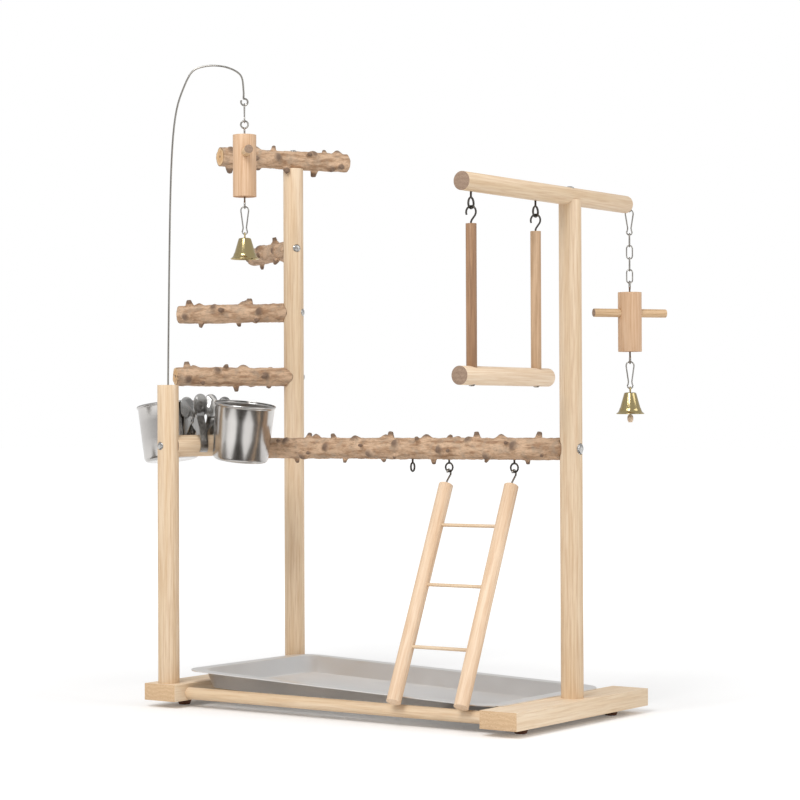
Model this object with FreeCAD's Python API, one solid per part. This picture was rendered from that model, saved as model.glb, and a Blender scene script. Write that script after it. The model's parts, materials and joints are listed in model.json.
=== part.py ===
import FreeCAD
import Part
import math
import os

# A tabletop play stand for a parrot. Millimetres, Z up, the front towards -Y and the long side
# along X. The pieces are modelled about the middle of the base on the floor, and the finished
# stand is then moved so that the middle of its bounding box stands over the origin.

Vector = FreeCAD.Vector
UP = Vector(0, 0, 1)
DOWN = Vector(0, 0, -1)

# ---- clearances -----------------------------------------------------------------------------
GLUE_GAP = 0.05                  # round a fixed piece in its hole or cope
RUN_GAP = 0.08                   # round a pin that turns in its hole
HANG_GAP = 0.2                   # between two wires where one hangs on the other
SEAT_GAP = 0.3                   # between loose pieces that rest on each other

# ---- base -----------------------------------------------------------------------------------
BASE_SPAN = 456.0
RUNNER_WIDTH = 41.0
RUNNER_HEIGHT = 17.2
RUNNER_LENGTH = 243.7
CROSSBAR_DIAMETER = 12.4
CROSSBAR_INSET = 22.35           # from a runner's end to the crossbar's axis
CROSSBAR_LIFT = 7.2              # from the runner's underside to the crossbar's axis
CROSSBAR_TENON = 12.0            # how far the crossbar goes into each runner
FOOT_HEIGHT = 7.0
FOOT_TOP_DIAMETER = 16.5
FOOT_BOTTOM_DIAMETER = 11.5
FOOT_INSET = 38.85
FOOT_RECESS_DIAMETER = 8.0
FOOT_RECESS_DEPTH = 4.0

# ---- posts, rails and perches ---------------------------------------------------------------
POST_DIAMETER = 22.0
FRONT_POST_INSET = 14.45
FRONT_POST_LENGTH = 307.6
BACK_POST_INSET = 18.85
BACK_POST_LENGTH = 549.5
RIGHT_POST_Y = 10.0
RIGHT_POST_LENGTH = 483.4
PERCH_DIAMETER = 21.0
SIDE_PERCH_LENGTH = 125.0
SIDE_PERCHES = {                 # name: height of the axis, bearing from the back post
    "upper": (485.0, 148.0),
    "middle": (414.5, 199.0),
    "lower": (343.0, 237.0),
}
TOP_PERCH_BEARING = 63.0
TOP_PERCH_NEAR = 88.0            # length in front of the post's axis
TOP_PERCH_FAR = 66.0             # length behind it
SADDLE_DEPTH = 1.2
COPE_END = 5.0                   # from a post's axis to the end of a coped piece thicker than it
LONG_PERCH_DIAMETER = 22.5
LONG_PERCH_HEIGHT = 265.5
CUP_DOWEL_DIAMETER = 22.5
CUP_DOWEL_HEIGHT = 268.8
CUP_DOWEL_BEARING = 81.0
CUP_DOWEL_LENGTH = 135.0         # from the front post's axis
TOP_DOWEL_DIAMETER = 17.5
TOP_DOWEL_COPE = 5.35
TOP_DOWEL_FRONT = 187.9          # length in front of the right post's axis
TOP_DOWEL_BACK = 107.4
KNOB_HEIGHT = 4.2
KNOB_LENGTH = 13.0
KNOB_WIDTH = 9.0
KNOB_SIDES = 6
KNOB_TURN = 137.5
KNOB_SPACING = 13.5

# ---- screws ---------------------------------------------------------------------------------
SCREW_HEAD_DIAMETER = 8.5
SCREW_HEAD_HEIGHT = 2.2
SCREW_SHANK_DIAMETER = 4.0
SCREW_SEAT = 1.0                 # depth of the head's seat below a round surface
SCREW_GRIP = 20.0                # length of the screw in the piece that it pulls in
WASHER_HEAD_DIAMETER = 11.0

# ---- wire fittings --------------------------------------------------------------------------
WIRE_SIDES = 6
EYE_WIRE = 2.0
EYE_SHANK = 10.0                 # length in the wood
CLIP_WIRE = 1.4
LINK_WIRE = 1.3

# ---- swing ----------------------------------------------------------------------------------
SWING_FRONT_EYE = 172.7          # from the right post's axis to the front eye
SWING_SPACING = 110.0
SWING_EYE_DROP = 16.5            # from the dowel's underside to the ring's lowest point
SWING_EYE_RADIUS = 4.4
SWING_HOOK_RADIUS = 5.4
SWING_HOOK_DROP = 10.5           # from the hook's arc centre to the rod's top
SWING_ROD_DIAMETER = 10.0
SWING_ROD_LENGTH = 130.0
SWING_PERCH_DIAMETER = 17.5
SWING_PERCH_LENGTH = 150.0

# ---- ladder ---------------------------------------------------------------------------------
LADDER_X = 64.0
LADDER_WIDTH = 78.0
LADDER_EYE_DROP = 12.9
LADDER_EYE_RADIUS = 4.4
LADDER_HOOK_RADIUS = 3.4
LADDER_RAIL_DIAMETER = 14.5
LADDER_RAIL_START = 15.5         # from the hinge line to the rail's top
LADDER_FOOT_HEIGHT = 24.3
LADDER_RACK = 20.0               # how far the rails lean sideways over their length
RUNG_DIAMETER = 3.5
RUNG_DEPTH = 5.0
RUNG_PLACES = (45.0, 111.0, 178.0)
SPARE_EYE_X = 19.0
SPARE_EYE_BEARING = 100.0

# ---- tray -----------------------------------------------------------------------------------
TRAY_LENGTH = 384.5
TRAY_WIDTH = 208.0
TRAY_DEPTH = 17.5
TRAY_FLANGE = 13.0
TRAY_TAPER = 5.0
TRAY_CORNER = 26.0
TRAY_SHEET = 0.8
TRAY_TILT = 2.0
TRAY_OVERLAP = 3.0               # how far the flange lies on the right runner

# ---- wire arm and left toy ------------------------------------------------------------------
ARM_WIRE = 2.0
ARM_BEARING = 35.6
ARM_DEPTH = 25.0
ARM_REACH = 80.0
ARM_PEAK = 331.0                 # from the front post's top to the arm's highest point
ARM_TIP = 289.0                  # from the front post's top to the loop's lowest wire centre
ARM_LOOP_RADIUS = 3.6
LEFT_CLIP_LENGTH = 21.0
LEFT_BLOCK_DIAMETER = 24.3
LEFT_BLOCK_LENGTH = 64.0
LEFT_PEG_DIAMETER = 9.2
LEFT_PEG_BELOW = 19.0            # from the block's top to the peg's axis
LEFT_PEG_BEARING = -44.5
LEFT_BELL_CLIP_LENGTH = 30.0

# ---- right toy ------------------------------------------------------------------------------
RIGHT_EYE_REACH = 7.6            # from the top dowel's back end to the middle of the ring
RIGHT_EYE_RADIUS = 3.4
RIGHT_EYE_BELOW = 3.0            # from the dowel's axis down to the eye's shank
RIGHT_CLIP_LENGTH = 27.0
LINK_LENGTH = 15.0
LINK_WIDTH = 7.2
LINK_COUNT = 4
RIGHT_BLOCK_DIAMETER = 24.0
RIGHT_BLOCK_LENGTH = 60.0
RIGHT_PEG_DIAMETER = 8.5
RIGHT_PEG_BELOW = 21.0
RIGHT_PEG_BEARING = 55.0
RIGHT_BELL_CLIP_LENGTH = 28.5
PEG_LENGTH = 80.0
BLOCK_EYE_WIRE = 1.8
BLOCK_EYE_RADIUS = 3.8
BLOCK_EYE_NECK = 3.5             # bare shank between the block and the ring
CLIP_TOP_RADIUS = 4.0
CLIP_NECK = 1.7                  # half the distance between the wires' centres at the neck
CLIP_EYE_RADIUS = 2.7

# ---- bells ----------------------------------------------------------------------------------
BELL_HEIGHT = 22.0
BELL_SHEET = 0.9
BELL_LOOP_RADIUS = 2.6
BELL_LOOP_WIRE = 1.4
LEFT_BELL_DIAMETER = 30.0
RIGHT_BELL_DIAMETER = 28.5
CLAPPER_BEAD_DIAMETER = 6.0
CLAPPER_BEAD_LENGTH = 8.0
CLAPPER_WIRE = 1.0

# ---- cups and clamps ------------------------------------------------------------------------
CUP_RIM_DIAMETER = 62.0
CUP_BASE_DIAMETER = 58.0
CUP_HEIGHT = 60.0
CUP_SHEET = 0.8
CUP_BEAD = 1.2
CUP_CORNER = 4.0
CUP_BELOW = 10.0                 # from the dowel's axis down to the cup's underside
CUP_LEAN = 8.0
LEFT_CUP_PLACE = 39.0            # along the cup dowel from the front post's axis
RIGHT_CUP_PLACE = 63.0
CLAMP_SHEET = 0.8
CLAMP_WIDTH = 12.0
CLAMP_SIDE_GAP = 0.1
JAW_REACH = 41.0                 # how far below the dowel's centre each jaw goes, in degrees
CLAMP_PIN_HEIGHT = 27.0
CLAMP_PIN_DIAMETER = 3.0
CLAMP_EAR_RADIUS = 4.0
WEB_TOP = 20.0                   # height where the back arm bends in
PAD_INSET = 10.0                 # from the clamp's middle to a thumb pad
PAD_FLARE = 3.5
PAD_LOW = 29.0
PAD_WIDTH = 18.0
PAD_HEIGHT = 24.0
PAD_RING = 0.6
RIVET_DIAMETER = 3.0
RIVET_HEAD = 5.0
RIVET_HEAD_HEIGHT = 0.9
RIVET_PLACES = (10.0, 17.0)
SPRING_WIRE = 1.1
SPRING_RADIUS = 2.4
SPRING_TURNS = 3
SPRING_PITCH = 1.7
SPRING_LEG = 13.5
SPRING_LEG_LEAN = 25.0           # how far each leg leans out towards its thumb pad

# ---- places worked out from the sizes -------------------------------------------------------
RUNNER_X = (BASE_SPAN - RUNNER_WIDTH) / 2
RUNNER_TOP = FOOT_HEIGHT + RUNNER_HEIGHT
CROSSBAR_Y = RUNNER_LENGTH / 2 - CROSSBAR_INSET
CROSSBAR_HEIGHT = FOOT_HEIGHT + CROSSBAR_LIFT
POST_RADIUS = POST_DIAMETER / 2
front_post = Vector(-RUNNER_X, FRONT_POST_INSET - RUNNER_LENGTH / 2, RUNNER_TOP)
back_post = Vector(-RUNNER_X, RUNNER_LENGTH / 2 - BACK_POST_INSET, RUNNER_TOP)
right_post = Vector(RUNNER_X, RIGHT_POST_Y, RUNNER_TOP)
front_post_top = front_post + UP * FRONT_POST_LENGTH
back_post_top = back_post + UP * BACK_POST_LENGTH
right_post_top = right_post + UP * RIGHT_POST_LENGTH


def bearing(degrees):
    """A level direction, counted from +X towards +Y."""
    turn = math.radians(degrees)
    return Vector(math.cos(turn), math.sin(turn), 0)


cup_dowel_way = bearing(CUP_DOWEL_BEARING)
top_perch_way = bearing(TOP_PERCH_BEARING)
top_perch_axis = back_post_top + UP * (PERCH_DIAMETER / 2 - SADDLE_DEPTH)
top_dowel_axis = right_post_top + UP * (TOP_DOWEL_DIAMETER / 2 - TOP_DOWEL_COPE)
cup_dowel_start = Vector(front_post.x, front_post.y, CUP_DOWEL_HEIGHT)
long_perch_end = Vector(right_post.x, right_post.y, LONG_PERCH_HEIGHT)


# ---- shapes that many pieces share ----------------------------------------------------------
def aimed(shape, origin, direction):
    """A shape modelled up the Z axis, turned along a direction and moved to its place."""
    shape.Placement = FreeCAD.Placement(origin, FreeCAD.Rotation(UP, direction))
    return shape


def rod(start, end, diameter):
    return Part.makeCylinder(diameter / 2, (end - start).Length, start, end - start)


def hole(start, end, diameter):
    """The space cut for a round piece that is glued or screwed in."""
    return rod(start, end, diameter + 2 * GLUE_GAP)


def turned(profile):
    """A solid of revolution about Z from a closed outline of (radius, height) points."""
    points = [Vector(radius, 0, height) for radius, height in profile]
    return Part.Face(Part.makePolygon(points + points[:1])).revolve(Vector(), UP, 360)


def skin(rings, closed=False):
    """A solid with flat faces through rings of as many points each."""
    count = len(rings[0])
    spans = list(zip(rings, rings[1:]))
    faces = []
    if closed:
        spans.append((rings[-1], rings[0]))
    else:
        faces.append(Part.Face(Part.makePolygon(rings[0] + rings[0][:1])))
        faces.append(Part.Face(Part.makePolygon(rings[-1] + rings[-1][:1])))
    for lower, upper in spans:
        for i in range(count):
            j = (i + 1) % count
            corners = [lower[i], lower[j], upper[j], upper[i], lower[i]]
            faces.append(Part.Face(Part.makePolygon(corners)))
    shell = Part.makeShell(faces)
    shell.sewShape()
    solid = Part.Solid(Part.Shell(shell.Faces))
    if solid.Volume < 0:
        solid.reverse()
    return solid


def bent_wire(points, diameter, closed=False, sides=WIRE_SIDES):
    """A wire bent along straight runs that are mitred where they meet."""
    count = len(points)
    runs = [(points[(i + 1) % count] - points[i]).normalize() for i in range(count)]
    if not closed:
        runs[-1] = runs[-2]
    before = runs[-1] if closed else runs[0]
    across = runs[0].cross(Vector(0.31, 0.62, 0.47)).normalize()
    if abs(runs[0].dot((points[2 % count] - points[0]).normalize())) < 0.99999:
        across = runs[0].cross(points[2] - points[0]).normalize()
    beside = runs[0].cross(across)
    ring = []
    for side in range(sides):
        turn = 2 * math.pi * (side + 0.5) / sides
        ring.append(points[0] + (across * math.cos(turn) + beside * math.sin(turn)) * (diameter / 2))
    rings = []
    for i in range(count):
        mitre = (before + runs[i]).normalize()
        along = runs[0] if i == 0 else before
        ring = [p + along * ((points[i] - p).dot(mitre) / along.dot(mitre)) for p in ring]
        rings.append(ring)
        before = runs[i]
    return skin(rings, closed)


def arc_points(centre, across, up, radius, start, stop, steps, stretch=1.0):
    """Points on an arc, its angles counted from across towards up, stretched along up."""
    points = []
    for step in range(steps + 1):
        turn = math.radians(start + (stop - start) * step / steps)
        points.append(centre + across * (radius * math.cos(turn))
                      + up * (radius * stretch * math.sin(turn)))
    return points


def wire_ring(centre, across, radius, wire, stretch=1.0):
    """A closed ring in the plane of across and Z. Stretch lengthens its upper half."""
    lower = arc_points(centre, across, UP, radius, 180, 360, 7)
    upper = arc_points(centre, across, UP, radius, 0, 180, 7, stretch)
    return bent_wire(lower + upper[1:-1], wire, closed=True)


def ring_centre(low_wire, radius):
    """The centre of a ring whose lowest wire centre is known."""
    return low_wire + UP * radius


def hung_below(low_wire, upper_wire, lower_wire):
    """Where the top wire of a hanging loop has its centre, from the wire that it hangs on."""
    return low_wire + UP * ((upper_wire + lower_wire) / 2 + HANG_GAP)


def screw_eye(root, low_wire, across, radius, wire, stretch=1.0, depth=EYE_SHANK):
    """An eye below the wood: root is where its shank leaves the wood."""
    ring = wire_ring(ring_centre(low_wire, radius), across, radius, wire, stretch)
    ring_top = ring_centre(low_wire, radius) + UP * (radius * stretch)
    return ring.fuse(rod(root + UP * depth, ring_top, wire)).removeSplitter()


def wood_screw(seat, direction, length, head=SCREW_HEAD_DIAMETER, shank=SCREW_SHANK_DIAMETER):
    """A round-headed screw: seat is under its head and direction points into the wood."""
    outline = [(0, -SCREW_HEAD_HEIGHT), (head * 0.3, -SCREW_HEAD_HEIGHT * 0.85),
               (head / 2, -SCREW_HEAD_HEIGHT * 0.3), (head / 2, 0), (shank / 2, 0),
               (shank / 2, length - shank), (0, length)]
    return aimed(turned(outline), seat, direction)


def screw_space(seat, direction, length, head=SCREW_HEAD_DIAMETER, shank=SCREW_SHANK_DIAMETER):
    """The hole for a screw and the flat-bottomed pocket for its head."""
    pocket = hole(seat, seat - direction * (2 * SCREW_HEAD_HEIGHT), head)
    return pocket.fuse(hole(seat, seat + direction * length, shank))


def knobby_stick(length, diameter, lead_in, lead_out, first_turn, knob=1.0):
    """A natural stick up the Z axis, swelling and narrowing, with a spiral of blunt knobs."""
    swell = diameter * 0.02
    stations = max(3, round(length / 45))
    outline = [(0, 0)]
    for station in range(stations + 1):
        outline.append((diameter / 2 - swell * (station % 2), length * station / stations))
    outline.append((0, length))
    stick = turned(outline)
    count = max(1, round((length - lead_in - lead_out) / KNOB_SPACING))
    knobs = []
    for number in range(count):
        height = lead_in + (length - lead_in - lead_out) * (number + 0.5) / count
        size = knob * (0.86 + 0.14 * math.cos(2.4 * number + first_turn))
        out = bearing(first_turn + KNOB_TURN * number)
        side = UP.cross(out)
        base_centre = UP * height + out * (diameter / 2 - 2.0)
        tip_centre = UP * height + out * (diameter / 2 + KNOB_HEIGHT * size)
        rings = []
        for centre, share in ((base_centre, 1.0), (tip_centre, 0.45)):
            ring = []
            for corner in range(KNOB_SIDES):
                turn = 2 * math.pi * (corner + 0.5) / KNOB_SIDES
                ring.append(centre + UP * (math.cos(turn) * KNOB_LENGTH / 2 * size * share)
                            + side * (math.sin(turn) * KNOB_WIDTH / 2 * size * share))
            rings.append(ring)
        knobs.append(skin(rings))
    return stick.fuse(knobs).removeSplitter()


pieces = {}


# ---- base -----------------------------------------------------------------------------------
def foot_places():
    foot_y = RUNNER_LENGTH / 2 - FOOT_INSET
    return [Vector(x, y, 0) for x in (-RUNNER_X, RUNNER_X) for y in (-foot_y, foot_y)]


def foot_screw(place, make):
    seat = place + UP * FOOT_RECESS_DEPTH
    return make(seat, UP, FOOT_HEIGHT + 6.0, 6.5, 3.0)


def post_screw(post, make):
    return make(Vector(post.x, post.y, FOOT_HEIGHT + 2 * SCREW_HEAD_HEIGHT), UP, RUNNER_HEIGHT + SCREW_GRIP)


def make_base():
    bars = {}
    for name, y in (("front_crossbar", -CROSSBAR_Y), ("rear_crossbar", CROSSBAR_Y)):
        reach = RUNNER_X - RUNNER_WIDTH / 2 + CROSSBAR_TENON
        ends = Vector(-reach, y, CROSSBAR_HEIGHT), Vector(reach, y, CROSSBAR_HEIGHT)
        pieces[name] = rod(ends[0], ends[1], CROSSBAR_DIAMETER)
        bars[name] = hole(ends[0], ends[1], CROSSBAR_DIAMETER)
    for name, x, posts in (("left_runner", -RUNNER_X, (front_post, back_post)),
                           ("right_runner", RUNNER_X, (right_post,))):
        corner = Vector(x - RUNNER_WIDTH / 2, -RUNNER_LENGTH / 2, FOOT_HEIGHT)
        runner = Part.makeBox(RUNNER_WIDTH, RUNNER_LENGTH, RUNNER_HEIGHT, corner)
        spaces = list(bars.values())
        spaces += [post_screw(post, screw_space) for post in posts]
        spaces += [foot_screw(place, screw_space) for place in foot_places() if place.x * x > 0]
        pieces[name] = runner.cut(spaces)
    foot = turned([(0, 0), (FOOT_BOTTOM_DIAMETER / 2, 0), (FOOT_TOP_DIAMETER / 2, FOOT_HEIGHT),
                   (0, FOOT_HEIGHT)])
    foot = foot.cut(rod(Vector(), UP * FOOT_RECESS_DEPTH, FOOT_RECESS_DIAMETER))
    feet = []
    for place in foot_places():
        copy = foot.copy()
        copy.translate(place)
        feet.append(copy.cut(foot_screw(place, screw_space)))
    pieces["rubber_feet"] = Part.makeCompound(feet)
    pieces["foot_screws"] = Part.makeCompound([foot_screw(place, wood_screw) for place in foot_places()])
    pieces["post_screws"] = Part.makeCompound(
        [post_screw(post, wood_screw) for post in (front_post, back_post, right_post)])


# ---- perches, posts and the screws through them ---------------------------------------------
side_perch_starts = {}
stand_screws = {}                # name: seat, direction, length, head diameter
for perch, (perch_height, perch_bearing) in SIDE_PERCHES.items():
    side_perch_starts[perch] = Vector(back_post.x, back_post.y, perch_height)
    stand_screws[perch] = (side_perch_starts[perch] - bearing(perch_bearing) * (POST_RADIUS - SCREW_SEAT),
                           bearing(perch_bearing), POST_DIAMETER + SCREW_GRIP, SCREW_HEAD_DIAMETER)
stand_screws["cup_dowel"] = (cup_dowel_start - cup_dowel_way * (POST_RADIUS - SCREW_SEAT),
                             cup_dowel_way, POST_DIAMETER + SCREW_GRIP, SCREW_HEAD_DIAMETER)
stand_screws["long_perch"] = (long_perch_end + Vector(POST_RADIUS - SCREW_SEAT, 0, 0),
                              Vector(-1, 0, 0), POST_DIAMETER + SCREW_GRIP, WASHER_HEAD_DIAMETER)
long_perch_meets = (RIGHT_POST_Y - cup_dowel_start.y) / cup_dowel_way.y
perch_on_dowel = cup_dowel_start + cup_dowel_way * long_perch_meets
perch_on_dowel.z = LONG_PERCH_HEIGHT
cup_dowel_sideways = Vector(1, 0, 0)
stand_screws["long_perch_left"] = (perch_on_dowel - cup_dowel_sideways * (CUP_DOWEL_DIAMETER / 2 - SCREW_SEAT),
                                   cup_dowel_sideways, CUP_DOWEL_DIAMETER + SCREW_GRIP,
                                   SCREW_HEAD_DIAMETER)
stand_screws["top_perch"] = (top_perch_axis + UP * (PERCH_DIAMETER / 2 - SCREW_SEAT), DOWN,
                             PERCH_DIAMETER + SCREW_GRIP, SCREW_HEAD_DIAMETER)
stand_screws["top_dowel"] = (top_dowel_axis + UP * (TOP_DOWEL_DIAMETER / 2 - SCREW_SEAT), DOWN,
                             TOP_DOWEL_DIAMETER + SCREW_GRIP, SCREW_HEAD_DIAMETER)


def screw_holes(*names):
    return [screw_space(*stand_screws[name]) for name in names]


def make_posts():
    post = rod(front_post, front_post_top, POST_DIAMETER)
    arm_hole = hole(front_post_top - UP * ARM_DEPTH, front_post_top, ARM_WIRE)
    pieces["front_left_post"] = post.cut([post_screw(front_post, screw_space), arm_hole]
                                         + screw_holes("cup_dowel"))
    post = rod(back_post, back_post_top, POST_DIAMETER)
    saddle = hole(top_perch_axis - top_perch_way * POST_DIAMETER,
                  top_perch_axis + top_perch_way * POST_DIAMETER, PERCH_DIAMETER)
    pieces["back_left_post"] = post.cut([post_screw(back_post, screw_space), saddle]
                                        + screw_holes("top_perch", *SIDE_PERCHES))
    post = rod(right_post, right_post_top, POST_DIAMETER)
    cope = hole(top_dowel_axis - Vector(0, POST_DIAMETER, 0),
                top_dowel_axis + Vector(0, POST_DIAMETER, 0), TOP_DOWEL_DIAMETER)
    pieces["right_post"] = post.cut([post_screw(right_post, screw_space), cope]
                                    + screw_holes("top_dowel", "long_perch"))


def post_space(post, length):
    return hole(post, post + UP * length, POST_DIAMETER)


def make_perches():
    for number, (name, (height, turn)) in enumerate(SIDE_PERCHES.items()):
        stick = knobby_stick(POST_RADIUS + SIDE_PERCH_LENGTH, PERCH_DIAMETER, POST_RADIUS + 8, 7,
                             40 + 75 * number)
        stick = aimed(stick, side_perch_starts[name], bearing(turn))
        pieces[name + "_side_perch"] = stick.cut(
            [post_space(back_post, BACK_POST_LENGTH)] + screw_holes(name))
    length = TOP_PERCH_NEAR + TOP_PERCH_FAR
    stick = knobby_stick(length, PERCH_DIAMETER, 5, 6, 63)
    stick = aimed(stick, top_perch_axis - top_perch_way * TOP_PERCH_NEAR, top_perch_way)
    beside_post = post_space(back_post, BACK_POST_LENGTH).cut(
        rod(top_perch_axis - top_perch_way * POST_DIAMETER,
            top_perch_axis + top_perch_way * POST_DIAMETER, PERCH_DIAMETER))
    pieces["top_perch"] = stick.cut([beside_post] + screw_holes("top_perch"))
    length = long_perch_end.x - COPE_END - perch_on_dowel.x
    stick = knobby_stick(length, LONG_PERCH_DIAMETER, 22, 14, 100, knob=0.9)
    stick = aimed(stick, perch_on_dowel, Vector(1, 0, 0))
    dowel_space = hole(cup_dowel_start, cup_dowel_start + cup_dowel_way * CUP_DOWEL_LENGTH,
                       CUP_DOWEL_DIAMETER)
    eye_holes = [hole(eye, Vector(eye.x, eye.y, long_perch_underside + EYE_SHANK), EYE_WIRE)
                 for eye in ladder_eye_wires + [spare_eye_wire]]
    stick = stick.cut([post_space(right_post, RIGHT_POST_LENGTH), dowel_space]
                      + screw_holes("long_perch", "long_perch_left"))
    pieces["long_perch"] = stick.cut(eye_holes)


def make_dowels():
    dowel = rod(cup_dowel_start + cup_dowel_way * COPE_END,
                cup_dowel_start + cup_dowel_way * CUP_DOWEL_LENGTH, CUP_DOWEL_DIAMETER)
    pieces["cup_dowel"] = dowel.cut([post_space(front_post, FRONT_POST_LENGTH)]
                                    + screw_holes("cup_dowel", "long_perch_left"))
    front_end = top_dowel_axis - Vector(0, TOP_DOWEL_FRONT, 0)
    back_end = top_dowel_axis + Vector(0, TOP_DOWEL_BACK, 0)
    eye_holes = [hole(eye, Vector(eye.x, eye.y, top_dowel_underside + EYE_SHANK), EYE_WIRE)
                 for eye in swing_eye_wires]
    eye_holes.append(hole(right_eye_centre - Vector(0, RIGHT_EYE_REACH + EYE_SHANK, 0),
                          right_eye_centre, BLOCK_EYE_WIRE))
    pieces["top_dowel"] = rod(front_end, back_end, TOP_DOWEL_DIAMETER).cut(
        eye_holes + screw_holes("top_dowel"))
    pieces["perch_screws"] = Part.makeCompound([wood_screw(*place) for place in stand_screws.values()])


# ---- the eyes in the stand's wood -----------------------------------------------------------
top_dowel_underside = top_dowel_axis.z - TOP_DOWEL_DIAMETER / 2
swing_front_y = RIGHT_POST_Y - SWING_FRONT_EYE
swing_eye_wires = [Vector(RUNNER_X, swing_front_y + SWING_SPACING * number,
                          top_dowel_underside - SWING_EYE_DROP + EYE_WIRE / 2) for number in (0, 1)]
long_perch_underside = LONG_PERCH_HEIGHT - LONG_PERCH_DIAMETER / 2
ladder_eye_z = long_perch_underside - LADDER_EYE_DROP + EYE_WIRE / 2
ladder_eye_wires = [Vector(LADDER_X + LADDER_WIDTH * number, RIGHT_POST_Y, ladder_eye_z)
                    for number in (0, 1)]
spare_eye_wire = Vector(SPARE_EYE_X, RIGHT_POST_Y, ladder_eye_z)
right_eye_centre = top_dowel_axis + Vector(0, TOP_DOWEL_BACK + RIGHT_EYE_REACH, -RIGHT_EYE_BELOW)
right_eye_wire = right_eye_centre - UP * RIGHT_EYE_RADIUS
toy_across = bearing(ARM_BEARING)
toy_away = bearing(ARM_BEARING + 90)


def make_stand_eyes():
    eyes = []
    for wire in swing_eye_wires:
        root = Vector(wire.x, wire.y, top_dowel_underside)
        eyes.append(screw_eye(root, wire, Vector(0, 1, 0), SWING_EYE_RADIUS, EYE_WIRE, 1.3))
    for wire, across in [(place, Vector(1, 0, 0)) for place in ladder_eye_wires] \
            + [(spare_eye_wire, bearing(SPARE_EYE_BEARING))]:
        root = Vector(wire.x, wire.y, long_perch_underside)
        eyes.append(screw_eye(root, wire, across, LADDER_EYE_RADIUS, EYE_WIRE))
    ring = wire_ring(right_eye_centre, Vector(0, 1, 0), RIGHT_EYE_RADIUS, BLOCK_EYE_WIRE)
    shank = rod(right_eye_centre - Vector(0, RIGHT_EYE_REACH + EYE_SHANK, 0),
                right_eye_centre - Vector(0, RIGHT_EYE_RADIUS, 0), BLOCK_EYE_WIRE)
    eyes.append(ring.fuse(shank).removeSplitter())
    pieces["stand_eyes"] = Part.makeCompound(eyes)


# ---- swing ----------------------------------------------------------------------------------
def make_swing():
    hooks = []
    rods = []
    screws = []
    hook_top = hung_below(swing_eye_wires[0], EYE_WIRE, EYE_WIRE).z
    hook_centre_z = hook_top - SWING_HOOK_RADIUS
    rod_top_z = hook_centre_z - SWING_HOOK_DROP
    perch_z = rod_top_z - SWING_ROD_LENGTH - SWING_PERCH_DIAMETER / 2
    perch_start = Vector(RUNNER_X, (swing_eye_wires[0].y + swing_eye_wires[1].y - SWING_PERCH_LENGTH) / 2,
                         perch_z)
    perch_end = perch_start + Vector(0, SWING_PERCH_LENGTH, 0)
    perch = rod(perch_start, perch_end, SWING_PERCH_DIAMETER)
    perch_space = hole(perch_start, perch_end, SWING_PERCH_DIAMETER)
    for eye in swing_eye_wires:
        centre = Vector(eye.x, eye.y, hook_centre_z)
        top = Vector(eye.x, eye.y, rod_top_z)
        curl = arc_points(centre, Vector(1, 0, 0), UP, SWING_HOOK_RADIUS, 205, -35, 11)
        shank = [top + Vector(0.8, 0, 3.2), top + UP * 1.6, top - UP * EYE_SHANK]
        hooks.append(bent_wire(curl + shank, EYE_WIRE))
        foot = Vector(eye.x, eye.y, perch_z)
        seat = foot - UP * (SWING_PERCH_DIAMETER / 2 - SCREW_SEAT)
        place = (seat, UP, SWING_PERCH_DIAMETER + SCREW_GRIP, 7.0, 3.5)
        spaces = [perch_space, screw_space(*place), hole(top, top - UP * EYE_SHANK, EYE_WIRE)]
        rods.append(rod(foot, top, SWING_ROD_DIAMETER).cut(spaces))
        screws.append(wood_screw(*place))
        perch = perch.cut(screw_space(*place))
    pieces["swing_hooks"] = Part.makeCompound(hooks)
    pieces["swing_rods"] = Part.makeCompound(rods)
    pieces["swing_perch"] = perch
    pieces["swing_screws"] = Part.makeCompound(screws)


# ---- tray -----------------------------------------------------------------------------------
tray_right = RUNNER_X - RUNNER_WIDTH / 2 + TRAY_OVERLAP
tray_turn = math.radians(TRAY_TILT)
tray_seat_z = RUNNER_TOP + 0.1


def tray_rim_top(x):
    """Height of the flange's upper face at a place along the stand."""
    return tray_seat_z + TRAY_SHEET / math.cos(tray_turn) + (tray_right - x) * math.tan(tray_turn)


def rounded_rectangle(length, width, corner, z):
    """A level rectangle with rounded corners about the origin."""
    half_x = length / 2
    half_y = width / 2
    edges = []
    previous = None
    first = None
    for number, (sx, sy) in enumerate(((1, 1), (-1, 1), (-1, -1), (1, -1))):
        centre = Vector(sx * (half_x - corner), sy * (half_y - corner), z)
        start, middle, end = [centre + bearing(90 * number + turn) * corner for turn in (0, 45, 90)]
        if previous:
            edges.append(Part.LineSegment(previous, start).toShape())
        edges.append(Part.Arc(start, middle, end).toShape())
        previous = end
        first = first or start
    edges.append(Part.LineSegment(previous, first).toShape())
    return Part.Wire(edges)


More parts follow.
